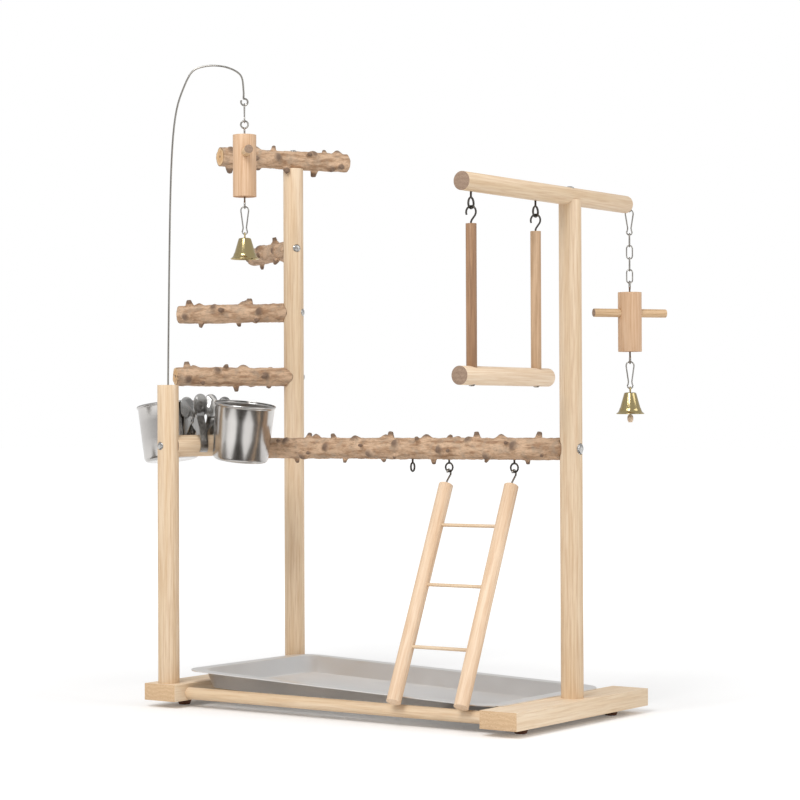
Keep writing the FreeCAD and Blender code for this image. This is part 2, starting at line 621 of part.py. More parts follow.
def make_tray():
    pan_length = TRAY_LENGTH - 2 * TRAY_FLANGE
    pan_width = TRAY_WIDTH - 2 * TRAY_FLANGE
    pan_corner = TRAY_CORNER - TRAY_FLANGE / 2

    def pan(inset, floor):
        upper = rounded_rectangle(pan_length - 2 * inset, pan_width - 2 * inset, pan_corner - inset,
                                  TRAY_SHEET)
        lower = rounded_rectangle(pan_length - 2 * (inset + TRAY_TAPER), pan_width - 2 * (inset + TRAY_TAPER),
                                  pan_corner - inset, floor)
        return Part.makeLoft([lower, upper], True, True)

    flange = Part.Face(rounded_rectangle(TRAY_LENGTH, TRAY_WIDTH, TRAY_CORNER, 0)).extrude(UP * TRAY_SHEET)
    tray = flange.fuse(pan(0, TRAY_SHEET - TRAY_DEPTH)).cut(pan(TRAY_SHEET, 2 * TRAY_SHEET - TRAY_DEPTH))
    tray = tray.removeSplitter()
    tray.translate(Vector(-TRAY_LENGTH / 2, 0, 0))
    tray.rotate(Vector(), Vector(0, 1, 0), TRAY_TILT)
    tray.translate(Vector(tray_right, 0, tray_seat_z))
    pieces["tray"] = tray


# ---- ladder ---------------------------------------------------------------------------------
def ladder_way():
    """The direction down a rail, which leans on the tray's front edge."""
    rim = Vector(0, -TRAY_WIDTH / 2, tray_rim_top(LADDER_X + LADDER_RACK))
    run = Vector(0, rim.y - RIGHT_POST_Y, rim.z - ladder_eye_z)
    reach = LADDER_RAIL_DIAMETER / 2 + SEAT_GAP
    lean = math.atan2(-run.y, -run.z) + math.asin(reach / run.Length)
    down = ladder_eye_z - LADDER_FOOT_HEIGHT
    return Vector(LADDER_RACK, -down * math.tan(lean), -down)


def make_ladder():
    run = ladder_way()
    way = Vector(run).normalize()
    level = Vector(1, 0, 0)
    out = way.cross(level).normalize()
    hooks = []
    rails = []
    rungs = []
    spaces = []
    for place in RUNG_PLACES:
        start = ladder_eye_wires[0] + way * (LADDER_RAIL_START + place)
        inset = level * (LADDER_RAIL_DIAMETER / 2 - RUNG_DEPTH)
        ends = start + inset, start + level * LADDER_WIDTH - inset
        rungs.append(rod(ends[0], ends[1], RUNG_DIAMETER))
        spaces.append(hole(ends[0], ends[1], RUNG_DIAMETER))
    for eye in ladder_eye_wires:
        top = eye + way * LADDER_RAIL_START
        shank = hole(top, top + way * EYE_SHANK, EYE_WIRE)
        rails.append(rod(top, eye + run, LADDER_RAIL_DIAMETER).cut(spaces + [shank]))
        centre = eye + way * (LADDER_HOOK_RADIUS - EYE_WIRE - HANG_GAP)
        curl = arc_points(centre, out, way * -1, LADDER_HOOK_RADIUS, -25, 215, 9)
        hooks.append(bent_wire(curl + [top - way * 4.5, top - way * 2.5, top + way * EYE_SHANK], EYE_WIRE))
    pieces["ladder_hooks"] = Part.makeCompound(hooks)
    pieces["ladder_rails"] = Part.makeCompound(rails)
    pieces["ladder_rungs"] = Part.makeCompound(rungs)


# ---- hanging toys ---------------------------------------------------------------------------
def snap_clip(top_wire, across, length):
    """A keyhole of wire: a wide loop above, drawn in to a neck and a small eye below."""
    low_wire = top_wire - UP * (length - CLIP_WIRE)
    top_centre = top_wire - UP * CLIP_TOP_RADIUS
    low_centre = low_wire + UP * CLIP_EYE_RADIUS
    neck = low_centre + UP * (CLIP_EYE_RADIUS + 1.4)
    upper = arc_points(top_centre, across, UP, CLIP_TOP_RADIUS, -10, 190, 8)
    lower = arc_points(low_centre, across, UP, CLIP_EYE_RADIUS, 140, 400, 8)
    outline = upper + [neck - across * CLIP_NECK] + lower + [neck + across * CLIP_NECK]
    return bent_wire(outline, CLIP_WIRE, closed=True), low_wire


def chain_link(top_wire, across):
    """An oval link, and its lowest wire centre."""
    radius = (LINK_WIDTH - LINK_WIRE) / 2
    low_wire = top_wire - UP * (LINK_LENGTH - LINK_WIRE)
    outline = arc_points(top_wire - UP * radius, across, UP, radius, 0, 180, 6)
    outline += arc_points(low_wire + UP * radius, across, UP, radius, 180, 360, 6)
    return bent_wire(outline, LINK_WIRE, closed=True), low_wire


def toy_block(top, diameter, length, peg, peg_below, peg_bearing, upper_low, upper_across, lower_across):
    """A turned block with a cross peg and an eye at each end."""
    block = rod(top, top - UP * length, diameter)
    peg_centre = top - UP * peg_below
    ends = [peg_centre + bearing(peg_bearing) * (PEG_LENGTH * side) for side in (-0.5, 0.5)]
    bottom = top - UP * length
    low_wire = bottom - UP * (BLOCK_EYE_NECK + BLOCK_EYE_WIRE / 2 + 2 * BLOCK_EYE_RADIUS)
    upper_ring = wire_ring(upper_low + UP * BLOCK_EYE_RADIUS, upper_across, BLOCK_EYE_RADIUS, BLOCK_EYE_WIRE)
    upper_eye = upper_ring.fuse(rod(upper_low, top - UP * EYE_SHANK, BLOCK_EYE_WIRE)).removeSplitter()
    lower_eye = screw_eye(bottom, low_wire, lower_across, BLOCK_EYE_RADIUS, BLOCK_EYE_WIRE)
    block = block.cut([hole(ends[0], ends[1], peg),
                       hole(top, top - UP * EYE_SHANK, BLOCK_EYE_WIRE),
                       hole(bottom, bottom + UP * EYE_SHANK, BLOCK_EYE_WIRE)])
    return block, rod(ends[0], ends[1], peg), Part.makeCompound([upper_eye, lower_eye]), low_wire


def bell(top_wire, across, diameter):
    """A thin turned bell with a wire loop on its crown and a staple inside for the clapper."""
    loop_low = top_wire - UP * (2 * BELL_LOOP_RADIUS)
    crown = loop_low.z - BELL_LOOP_WIRE / 2 + 0.4
    lip = crown - BELL_HEIGHT
    radius = diameter / 2
    outside = [(0, crown), (radius * 0.42, crown - 0.6), (radius * 0.6, crown - 4.5),
               (radius * 0.68, lip + 6.0), (radius, lip + 1.2), (radius, lip)]
    inside = [(radius - BELL_SHEET, lip), (radius * 0.68 - BELL_SHEET, lip + 5.4),
              (radius * 0.58 - BELL_SHEET, crown - 4.8), (0, crown - BELL_SHEET - 0.6)]
    shell = turned(outside + inside)
    shell.translate(Vector(top_wire.x, top_wire.y, 0))
    loop = wire_ring(loop_low + UP * BELL_LOOP_RADIUS, across, BELL_LOOP_RADIUS, BELL_LOOP_WIRE)
    staple_low = Vector(top_wire.x, top_wire.y, crown - BELL_SHEET - 5.2)
    staple = wire_ring(staple_low + UP * 2.2, across, 2.2, CLAPPER_WIRE)
    post = rod(staple_low + UP * 4.4, Vector(top_wire.x, top_wire.y, crown - 0.5), CLAPPER_WIRE)
    return shell.fuse([loop, staple, post]).removeSplitter(), staple_low, lip


def clapper(staple_low, across, lip):
    """A wooden bead on a wire that hangs in a bell and shows a little below its lip."""
    eye_radius = 1.6
    top_wire = hung_below(staple_low, CLAPPER_WIRE, CLAPPER_WIRE)
    eye_low = top_wire - UP * (2 * eye_radius)
    bead_top = Vector(top_wire.x, top_wire.y, lip - 0.3)
    radius = CLAPPER_BEAD_DIAMETER / 2
    bead = turned([(0, 0), (radius * 0.6, 0), (radius, -CLAPPER_BEAD_LENGTH * 0.3),
                   (radius, -CLAPPER_BEAD_LENGTH * 0.7), (radius * 0.6, -CLAPPER_BEAD_LENGTH),
                   (0, -CLAPPER_BEAD_LENGTH)])
    bead.translate(bead_top)
    ring = wire_ring(eye_low + UP * eye_radius, across, eye_radius, CLAPPER_WIRE)
    stem = rod(eye_low, bead_top - UP * 2, CLAPPER_WIRE)
    return ring.fuse([stem, bead]).removeSplitter()


arm_reach_point = front_post_top + toy_across * ARM_REACH
arm_loop_wire = Vector(arm_reach_point.x, arm_reach_point.y, front_post_top.z + ARM_TIP)


def make_wire_arm():
    def on_arm(out, height):
        return front_post_top + toy_across * out + UP * height

    bend = ARM_REACH * 0.42
    bend_centre = on_arm(ARM_REACH * 0.6, ARM_PEAK - bend * 0.62)
    stem = [on_arm(0, -ARM_DEPTH), on_arm(0, 0), on_arm(1.3, ARM_PEAK * 0.3), on_arm(2.7, ARM_PEAK * 0.57),
            on_arm(4.9, ARM_PEAK * 0.76), on_arm(9.5, ARM_PEAK * 0.872), on_arm(16.5, ARM_PEAK * 0.925)]
    crown = arc_points(bend_centre, toy_across, UP, bend, 135, 25, 6, 0.62)
    tip = [on_arm(ARM_REACH - 1.0, ARM_TIP + 17), on_arm(ARM_REACH - 0.4, ARM_TIP + 2 * ARM_LOOP_RADIUS + 4)]
    loop_centre = arm_loop_wire + UP * ARM_LOOP_RADIUS
    loop = arc_points(loop_centre, toy_across, UP, ARM_LOOP_RADIUS, 110, -215, 12)
    pieces["wire_arm"] = bent_wire(stem + crown + tip + loop, ARM_WIRE)


def make_left_toy():
    top_wire = hung_below(arm_loop_wire, ARM_WIRE, CLIP_WIRE)
    pieces["left_clip"], clip_low = snap_clip(top_wire, toy_away, LEFT_CLIP_LENGTH)
    eye_top = hung_below(clip_low, CLIP_WIRE, BLOCK_EYE_WIRE)
    eye_low = eye_top - UP * (2 * BLOCK_EYE_RADIUS)
    block_top = eye_low - UP * (BLOCK_EYE_NECK * 2)
    block, peg, eyes, block_low = toy_block(
        block_top, LEFT_BLOCK_DIAMETER, LEFT_BLOCK_LENGTH, LEFT_PEG_DIAMETER, LEFT_PEG_BELOW,
        LEFT_PEG_BEARING, eye_low, toy_across, toy_away)
    pieces["left_block"] = block
    pieces["left_cross_peg"] = peg
    pieces["left_block_eyes"] = eyes
    clip_top = hung_below(block_low, BLOCK_EYE_WIRE, CLIP_WIRE)
    pieces["left_bell_clip"], bell_clip_low = snap_clip(clip_top, toy_across, LEFT_BELL_CLIP_LENGTH)
    bell_top = hung_below(bell_clip_low, CLIP_WIRE, BELL_LOOP_WIRE)
    pieces["left_bell"], staple, lip = bell(bell_top, toy_away, LEFT_BELL_DIAMETER)
    pieces["left_clapper"] = clapper(staple, toy_across, lip + CLAPPER_BEAD_LENGTH + 1.5)
    return [arm_loop_wire, clip_low, block_low, bell_clip_low, staple]


def make_right_toy():
    top_wire = hung_below(right_eye_wire, BLOCK_EYE_WIRE, CLIP_WIRE)
    pieces["right_clip"], low_wire = snap_clip(top_wire, toy_across, RIGHT_CLIP_LENGTH)
    hinges = [right_eye_wire, low_wire]
    upper_wire = CLIP_WIRE
    for number in range(LINK_COUNT):
        across = toy_across if number % 2 else toy_away
        link, low_wire = chain_link(hung_below(low_wire, upper_wire, LINK_WIRE), across)
        pieces["right_link_%d" % (number + 1)] = link
        hinges.append(low_wire)
        upper_wire = LINK_WIRE
    eye_top = hung_below(low_wire, LINK_WIRE, BLOCK_EYE_WIRE)
    eye_low = eye_top - UP * (2 * BLOCK_EYE_RADIUS)
    block_top = eye_low - UP * BLOCK_EYE_NECK
    block, peg, eyes, block_low = toy_block(
        block_top, RIGHT_BLOCK_DIAMETER, RIGHT_BLOCK_LENGTH, RIGHT_PEG_DIAMETER, RIGHT_PEG_BELOW,
        RIGHT_PEG_BEARING, eye_low, toy_away, toy_away)
    pieces["right_block"] = block
    pieces["right_cross_dowel"] = peg
    pieces["right_block_eyes"] = eyes
    clip_top = hung_below(block_low, BLOCK_EYE_WIRE, CLIP_WIRE)
    pieces["right_bell_clip"], bell_clip_low = snap_clip(clip_top, toy_across, RIGHT_BELL_CLIP_LENGTH)
    bell_top = hung_below(bell_clip_low, CLIP_WIRE, BELL_LOOP_WIRE)
    pieces["right_bell"], staple, lip = bell(bell_top, toy_away, RIGHT_BELL_DIAMETER)
    pieces["right_clapper"] = clapper(staple, toy_across, lip)
    return hinges + [block_low, bell_clip_low, staple]


# ---- cups and their clamps, modelled with the dowel's axis along Y and the cup towards +X ----
jaw_inner = CUP_DOWEL_DIAMETER / 2 + SEAT_GAP
jaw_outer = jaw_inner + CLAMP_SHEET
cup_slope = (CUP_RIM_DIAMETER - CUP_BASE_DIAMETER) / 2 / CUP_HEIGHT
cup_wall_at_web = CUP_BASE_DIAMETER / 2 + (WEB_TOP + CUP_BELOW) * cup_slope
cup_axis_x = jaw_outer + cup_wall_at_web + 0.02
clamp_pin = Vector(0, 0, CLAMP_PIN_HEIGHT)
inner_width = CLAMP_WIDTH - 2 * (CLAMP_SHEET + CLAMP_SIDE_GAP)


def level_plate(outline, y, thickness):
    """A plate square to Y from a closed outline of (x, z) points."""
    points = [Vector(x, y, z) for x, z in outline]
    return Part.Face(Part.makePolygon(points + points[:1])).extrude(Vector(0, thickness, 0))


def jaw(side, width):
    """The arched jaw on one side of the dowel, from level with its centre down to its tip."""
    outer = Part.makeCylinder(jaw_outer, width, Vector(0, -width / 2, 0), Vector(0, 1, 0))
    inner = Part.makeCylinder(jaw_inner, width, Vector(0, -width / 2, 0), Vector(0, 1, 0))
    tip = math.radians(JAW_REACH)
    far = 2 * jaw_outer
    wedge = level_plate([(0, 0), (side * far, 0), (side * far, -far * math.tan(tip))],
                        -width / 2, width)
    return outer.cut(inner).common(wedge)


def thumb_pad(foot, head, width):
    """A flat pad with round ends and a pressed ring, on the line from its foot to its head."""
    length = (head - foot).Length
    radius = width / 2
    middle = Part.makeBox(width, length - width, CLAMP_SHEET, Vector(-radius, radius, 0))
    ends = [Part.makeCylinder(radius, CLAMP_SHEET, Vector(0, y, 0)) for y in (radius, length - radius)]
    ring = Part.makeCylinder(radius * 0.62, PAD_RING, Vector(0, length / 2, CLAMP_SHEET))
    ring = ring.cut(Part.makeCylinder(radius * 0.45, PAD_RING, Vector(0, length / 2, CLAMP_SHEET)))
    pad = middle.fuse(ends + [ring]).removeSplitter()
    side = 1 if foot.x > 0 else -1
    along = (head - foot).normalize()
    out = Vector(side * along.z, 0, -side * along.x)
    pad.Placement = FreeCAD.Placement(foot, FreeCAD.Rotation(along.cross(out), along, out, "YXZ"))
    return pad


def web(outline, width):
    """A bent strip: (x, z) points on its inner face, from low to high, for the side they lie on."""
    side = 1 if outline[0][0] > 0 else -1
    outer = [(x + side * CLAMP_SHEET, z) for x, z in outline]
    return level_plate(outline + outer[::-1], -width / 2, width)


def ears(outline, width, side):
    """The two side flanges of an arm, with rounded lugs about the pin."""
    flanges = []
    for y in (-width / 2, width / 2 - CLAMP_SHEET):
        flange = level_plate(outline, y, CLAMP_SHEET)
        lug = Part.makeCylinder(CLAMP_EAR_RADIUS, CLAMP_SHEET, clamp_pin + Vector(0, y, 0), Vector(0, 1, 0))
        flanges.append(flange.fuse(lug))
    pin_hole = Part.makeCylinder(CLAMP_PIN_DIAMETER / 2 + RUN_GAP, 2 * width,
                                 clamp_pin - Vector(0, width, 0), Vector(0, 1, 0))
    return [flange.cut(pin_hole) for flange in flanges]


def rivet_places():
    return [Vector(jaw_inner, 0, height) for height in RIVET_PLACES]


def make_clamp_arms():
    pad_foot = Vector(PAD_INSET - CLAMP_SHEET, 0, PAD_LOW)
    strip = web([(jaw_inner, 0), (jaw_inner, WEB_TOP), (pad_foot.x, PAD_LOW - 1), (pad_foot.x, PAD_LOW + 6)],
                CLAMP_WIDTH)
    pad = thumb_pad(pad_foot, pad_foot + UP * PAD_HEIGHT, PAD_WIDTH)
    flange_outline = [(jaw_outer, 8), (jaw_outer, WEB_TOP), (pad_foot.x + CLAMP_SHEET, PAD_LOW - 1),
                      (0, CLAMP_PIN_HEIGHT + CLAMP_EAR_RADIUS), (0, CLAMP_PIN_HEIGHT - CLAMP_EAR_RADIUS)]
    flanges = ears(flange_outline, CLAMP_WIDTH, 1)
    back = jaw(1, CLAMP_WIDTH).fuse([strip, pad] + flanges).removeSplitter()
    spaces = [rod(place - Vector(2, 0, 0), place + Vector(4, 0, 0), RIVET_DIAMETER + 2 * GLUE_GAP)
              for place in rivet_places()]
    back = back.cut(spaces)
    width = CLAMP_WIDTH - 2 * (CLAMP_SHEET + CLAMP_SIDE_GAP)
    pad_foot = Vector(CLAMP_SHEET - PAD_INSET, 0, PAD_LOW)
    strip = web([(-jaw_inner, 0), (-jaw_inner, WEB_TOP - 4), (pad_foot.x, PAD_LOW - 1),
                 (pad_foot.x - 0.84, PAD_LOW + 5)], width)
    pad = thumb_pad(pad_foot, pad_foot + Vector(-PAD_FLARE, 0, PAD_HEIGHT), PAD_WIDTH)
    flange_outline = [(-jaw_outer, 6), (-jaw_outer, WEB_TOP - 4), (pad_foot.x - CLAMP_SHEET, PAD_LOW - 1),
                      (0, CLAMP_PIN_HEIGHT + CLAMP_EAR_RADIUS), (0, CLAMP_PIN_HEIGHT - CLAMP_EAR_RADIUS)]
    flanges = ears(flange_outline, width, -1)
    front = jaw(-1, width).fuse([strip, pad] + flanges).removeSplitter()
    return back, front


def make_cup():
    base = CUP_BASE_DIAMETER / 2
    rim = CUP_RIM_DIAMETER / 2
    bead = CUP_BEAD
    top = CUP_HEIGHT
    outline = [(0, 0), (base - CUP_CORNER, 0), (base, CUP_CORNER * 0.8), (rim, top - 2 * bead),
               (rim + bead, top - 1.6 * bead), (rim + bead, top - 0.6 * bead), (rim, top),
               (rim - CUP_SHEET, top), (base - CUP_SHEET, CUP_CORNER), (base - CUP_CORNER - 0.4, CUP_SHEET),
               (0, CUP_SHEET)]
    cup = turned(outline)
    cup.translate(Vector(cup_axis_x, 0, -CUP_BELOW))
    spaces = [rod(place, place + Vector(4, 0, 0), RIVET_DIAMETER + 2 * GLUE_GAP) for place in rivet_places()]
    return cup.cut(spaces)


def make_rivets():
    rivets = []
    for place in rivet_places():
        wall = cup_axis_x - (CUP_BASE_DIAMETER / 2 + (place.z + CUP_BELOW) * cup_slope) + CUP_SHEET
        grip = wall + 0.25 - jaw_inner
        radius = RIVET_DIAMETER / 2
        outline = [(0, -0.2), (radius, -0.2), (radius, grip), (RIVET_HEAD / 2, grip),
                   (RIVET_HEAD * 0.3, grip + RIVET_HEAD_HEIGHT), (0, grip + RIVET_HEAD_HEIGHT)]
        rivets.append(aimed(turned(outline), place, Vector(1, 0, 0)))
    return Part.makeCompound(rivets)


def make_pin():
    half = CLAMP_WIDTH / 2
    radius = CLAMP_PIN_DIAMETER / 2
    outline = [(0, -half - 0.9), (radius + 0.8, -half - 0.9), (radius + 0.8, -half - 0.1), (radius, -half - 0.1),
               (radius, half + 0.1), (radius + 0.8, half + 0.1), (radius + 0.8, half + 0.9), (0, half + 0.9)]
    return aimed(turned(outline), clamp_pin, Vector(0, 1, 0))


def smooth_bend(start, start_way, end, end_way):
    """Two arcs that meet smoothly and run from one point and direction to another."""
    across = end - start
    both = start_way + end_way
    spread = 2 * (1 - start_way.dot(end_way))
    slant = across.dot(both)
    reach = (-slant + math.sqrt(slant ** 2 + spread * across.dot(across))) / spread
    corners = start + start_way * reach, end - end_way * reach
    meeting = (corners[0] + corners[1]) * 0.5
    arcs = []
    for first, corner, last in ((start, corners[0], meeting), (meeting, corners[1], end)):
        weight = math.cos((corner - first).getAngle(last - first))
        middle = (first + corner * (2 * weight) + last) * (1 / (2 + 2 * weight))
        arcs.append(Part.Arc(first, middle, last).toShape())
    return arcs


def make_spring():
    """A torsion spring round the pin, its two legs pressing the thumb pads apart."""
    lean = math.radians(SPRING_LEG_LEAN)
    whole = 2 * math.pi * SPRING_TURNS + math.pi - 2 * lean
    rise = SPRING_PITCH / (2 * math.pi)

    def on_coil(turn):
        angle = -lean - turn
        place = Vector(SPRING_RADIUS * math.cos(angle), rise * (turn - whole / 2),
                       SPRING_RADIUS * math.sin(angle))
        way = Vector(SPRING_RADIUS * math.sin(angle), rise, -SPRING_RADIUS * math.cos(angle))
        return clamp_pin + place, way.normalize()

    steps = 4 * SPRING_TURNS + 2
    stations = [on_coil(whole * step / steps) for step in range(steps + 1)]
    start = stations[0][0] - stations[0][1] * SPRING_LEG
    edges = [Part.LineSegment(start, stations[0][0]).toShape()]
    for near, far in zip(stations, stations[1:]):
        edges += smooth_bend(*near, *far)
    edges.append(Part.LineSegment(stations[-1][0], stations[-1][0] + stations[-1][1] * SPRING_LEG).toShape())
    side = stations[0][1].cross(Vector(0, 1, 0)).normalize()
    lift = stations[0][1].cross(side)
    corners = []
    for number in range(WIRE_SIDES):
        turn = 2 * math.pi * number / WIRE_SIDES
        corners.append(start + (side * math.cos(turn) + lift * math.sin(turn)) * (SPRING_WIRE / 2))
    section = Part.makePolygon(corners + corners[:1])
    spring = Part.Wire(edges).makePipeShell([section], True, False)
    print("spring: gap between turns", round(SPRING_PITCH - SPRING_WIRE, 2), "volume", round(spring.Volume, 1))
    return spring


def placed_cup(shape, place, side):
    """Lean a clamp piece about the dowel and set it on its side of the dowel."""
    copy = shape.copy()
    copy.rotate(Vector(), Vector(0, 1, 0), CUP_LEAN)
    copy.rotate(Vector(), UP, CUP_DOWEL_BEARING - 90 + (0 if side > 0 else 180))
    copy.translate(cup_dowel_start + cup_dowel_way * place)
    return copy


def make_cups():
    back, front = make_clamp_arms()
    cup_pieces = {"cup": make_cup(), "clamp_back_arm": back, "clamp_front_arm": front,
                  "clamp_pin": make_pin(), "clamp_spring": make_spring(), "cup_rivets": make_rivets()}
    for prefix, place, side in (("left_", LEFT_CUP_PLACE, -1), ("right_", RIGHT_CUP_PLACE, 1)):
        for name, shape in cup_pieces.items():
            pieces[prefix + name] = placed_cup(shape, place, side)


make_base()
make_posts()
make_perches()
make_dowels()
make_stand_eyes()
make_swing()
make_tray()
make_ladder()
make_wire_arm()
left_hinges = make_left_toy()
right_hinges = make_right_toy()
make_cups()

# ---- the finished stand over the origin -----------------------------------------------------
bounds = Part.makeCompound(list(pieces.values())).optimalBoundingBox(True, False)
origin_move = Vector(-bounds.Center.x, -bounds.Center.y, -bounds.ZMin)
os.makedirs("parts", exist_ok=True)
for name, shape in pieces.items():
    shape.translate(origin_move)
    shape.exportStep(os.path.join("parts", name + ".step"))
print("pieces", len(pieces), "size", [round(v, 1) for v in (bounds.XLength, bounds.YLength, bounds.ZLength)])
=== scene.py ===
import json
import math

import bpy
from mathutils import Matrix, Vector

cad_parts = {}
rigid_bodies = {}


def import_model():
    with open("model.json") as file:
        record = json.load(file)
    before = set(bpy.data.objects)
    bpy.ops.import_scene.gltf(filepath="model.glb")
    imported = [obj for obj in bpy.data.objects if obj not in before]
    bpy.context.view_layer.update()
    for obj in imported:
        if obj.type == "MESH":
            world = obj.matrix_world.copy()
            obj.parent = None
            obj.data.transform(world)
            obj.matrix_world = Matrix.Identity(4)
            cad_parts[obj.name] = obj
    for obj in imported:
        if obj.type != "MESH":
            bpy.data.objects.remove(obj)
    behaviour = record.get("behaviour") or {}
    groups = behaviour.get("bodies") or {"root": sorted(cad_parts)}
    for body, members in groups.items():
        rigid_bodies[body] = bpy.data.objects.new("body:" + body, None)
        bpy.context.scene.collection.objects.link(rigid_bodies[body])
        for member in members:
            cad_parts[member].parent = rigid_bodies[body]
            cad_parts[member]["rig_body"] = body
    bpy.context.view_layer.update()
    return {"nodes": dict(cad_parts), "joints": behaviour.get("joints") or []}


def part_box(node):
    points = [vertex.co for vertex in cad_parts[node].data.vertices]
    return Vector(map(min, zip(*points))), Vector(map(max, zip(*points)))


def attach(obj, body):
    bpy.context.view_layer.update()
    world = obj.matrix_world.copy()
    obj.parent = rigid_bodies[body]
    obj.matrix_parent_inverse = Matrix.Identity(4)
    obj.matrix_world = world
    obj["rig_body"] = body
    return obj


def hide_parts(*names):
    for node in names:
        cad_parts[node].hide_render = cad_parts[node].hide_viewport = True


# A parrot's play stand of pine, natural branches and steel wire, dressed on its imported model.
# Lengths are metres, Z is up and the front is towards -Y.

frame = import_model()
MM = 0.001
UP = Vector((0, 0, 1))
joint_places = {joint["name"]: Vector(joint["pos_m"]) for joint in frame["joints"] if "pos_m" in joint}


def middle(name):
    low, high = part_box(name)
    return (low + high) / 2


def bearing(degrees):
    """A level direction, counted from +X towards +Y."""
    return Vector((math.cos(math.radians(degrees)), math.sin(math.radians(degrees)), 0))


# ---- camera ---------------------------------------------------------------------------------
FOCAL_PIXELS = 2328.6            # the photograph is 800 pixels wide
CAMERA_BEARING = 35.59
CAMERA_PITCH = 0.6
CAMERA_ROLL = -0.24
CAMERA_FROM_BASE = Vector((1.3888, -1.9258, 0.2901))

base_middle = (middle("left_runner") + middle("right_runner")) / 2
base_middle.z = 0
bpy.ops.object.camera_add(location=base_middle + CAMERA_FROM_BASE)
camera = bpy.context.object
camera.data.sensor_width = 36
camera.data.lens = 36 * FOCAL_PIXELS / 800
camera.data.clip_end = 50
camera.rotation_euler = (math.radians(90 + CAMERA_PITCH), 0, math.radians(CAMERA_BEARING))
camera.rotation_euler.rotate_axis("Z", math.radians(CAMERA_ROLL))
bpy.context.scene.camera = camera


# ---- materials ------------------------------------------------------------------------------
def colour(hex_value):
    """A linear colour from an sRGB hex value."""
    channels = [int(hex_value[i:i + 2], 16) / 255 for i in (1, 3, 5)]
    return [c / 12.92 if c <= 0.04045 else ((c + 0.055) / 1.055) ** 2.4 for c in channels] + [1]


def add(tree, kind, inputs=None, **settings):
    """Add a node, give it its settings, and set or link its inputs."""
    made = tree.nodes.new(kind)
    for name, value in settings.items():
        setattr(made, name, value)
    for socket, value in (inputs or {}).items():
        if isinstance(value, bpy.types.NodeSocket):
            tree.links.new(value, made.inputs[socket])
        else:
            made.inputs[socket].default_value = value
    return made


def new_material(name):
    """A material with an empty node tree, and that tree."""
    material = bpy.data.materials.new(name)
    material.use_nodes = True
    material.node_tree.nodes.clear()
    return material, material.node_tree


def close_material(tree, inputs):
    """End a node tree with one shader and its output."""
    shader = add(tree, "ShaderNodeBsdfPrincipled", inputs)
    add(tree, "ShaderNodeOutputMaterial", {"Surface": shader.outputs[0]})


def along(way):
    """The rotation that turns a pattern's Z axis along a direction."""
    return UP.rotation_difference(way).to_euler()


GRAIN_LENGTH = 45 * MM           # of one streak of latewood
BAND_WIDTH = 7 * MM              # of the broad pale bands under the streaks
BAND_LENGTH = 160 * MM


def planed_wood(name, pale, mid, dark, way=UP, roughness=0.5, streak=1.6):
    """Sanded timber: fine dark streaks of latewood run along the grain, over broad paler bands."""
    material, tree = new_material(name)
    place = add(tree, "ShaderNodeTexCoord").outputs["Object"]
    fine = add(tree, "ShaderNodeMapping", {"Vector": place, "Rotation": along(way),
               "Scale": (streak * MM, streak * MM, GRAIN_LENGTH)}, vector_type="TEXTURE")
    broad = add(tree, "ShaderNodeMapping", {"Vector": place, "Rotation": along(way),
                "Scale": (BAND_WIDTH, BAND_WIDTH, BAND_LENGTH)}, vector_type="TEXTURE")
    streaks = add(tree, "ShaderNodeTexNoise", {"Vector": fine.outputs[0], "Scale": 1.0, "Detail": 4.0,
                  "Roughness": 0.62})
    bands = add(tree, "ShaderNodeTexNoise", {"Vector": broad.outputs[0], "Scale": 1.0, "Detail": 2.0,
                "Roughness": 0.5})
    streak_share = add(tree, "ShaderNodeMapRange", {"Value": streaks.outputs[0], "From Min": 0.42,
                       "From Max": 0.68, "To Min": 0.0, "To Max": 0.75})
    band_share = add(tree, "ShaderNodeMapRange", {"Value": bands.outputs[0], "From Min": 0.35,
                     "From Max": 0.65})
    ground = add(tree, "ShaderNodeMix", {"Factor": band_share.outputs[0], 6: colour(pale), 7: colour(mid)},
                 data_type="RGBA")
    grain = add(tree, "ShaderNodeMix", {"Factor": streak_share.outputs[0], 6: ground.outputs[2],
                7: colour(dark)}, data_type="RGBA")
    rough = add(tree, "ShaderNodeMapRange", {"Value": streaks.outputs[0], "To Min": roughness - 0.08,
                "To Max": roughness + 0.14})
    relief = add(tree, "ShaderNodeBump", {"Height": streaks.outputs[0], "Strength": 0.25,
                 "Distance": 0.15 * MM})
    close_material(tree, {"Base Color": grain.outputs[2], "Roughness": rough.outputs[0],
                          "Normal": relief.outputs[0]})
    return material


def end_grain(name, pale, dark, fleck=0.9):
    """Sawn across the grain: open pores show as small dark flecks on a matt surface."""
    material, tree = new_material(name)
    place = add(tree, "ShaderNodeTexCoord").outputs["Object"]
    pores = add(tree, "ShaderNodeTexNoise", {"Vector": place, "Scale": 1 / (fleck * MM), "Detail": 3.0,
                "Roughness": 0.7})
    rings = add(tree, "ShaderNodeTexWave", {"Vector": place, "Scale": 1 / (14 * MM), "Distortion": 6.0,
                "Detail": 2.0}, bands_direction="Z")
    pore_share = add(tree, "ShaderNodeMapRange", {"Value": pores.outputs[0], "From Min": 0.45,
                     "From Max": 0.7})
    ring_share = add(tree, "ShaderNodeMath", {0: rings.outputs["Fac"], 1: 0.35}, operation="MULTIPLY")
    both = add(tree, "ShaderNodeMath", {0: pore_share.outputs[0], 1: ring_share.outputs[0]},
               operation="MAXIMUM")
    tone = add(tree, "ShaderNodeMix", {"Factor": both.outputs[0], 6: colour(pale), 7: colour(dark)},
               data_type="RGBA")
    relief = add(tree, "ShaderNodeBump", {"Height": pores.outputs[0], "Strength": 0.4, "Distance": 0.2 * MM})
    close_material(tree, {"Base Color": tone.outputs[2], "Roughness": 0.75, "Normal": relief.outputs[0]})
    return material


CRACK_BROWN = "#4A3322"
KNOB_TIP_BROWN = "#6F5A4B"


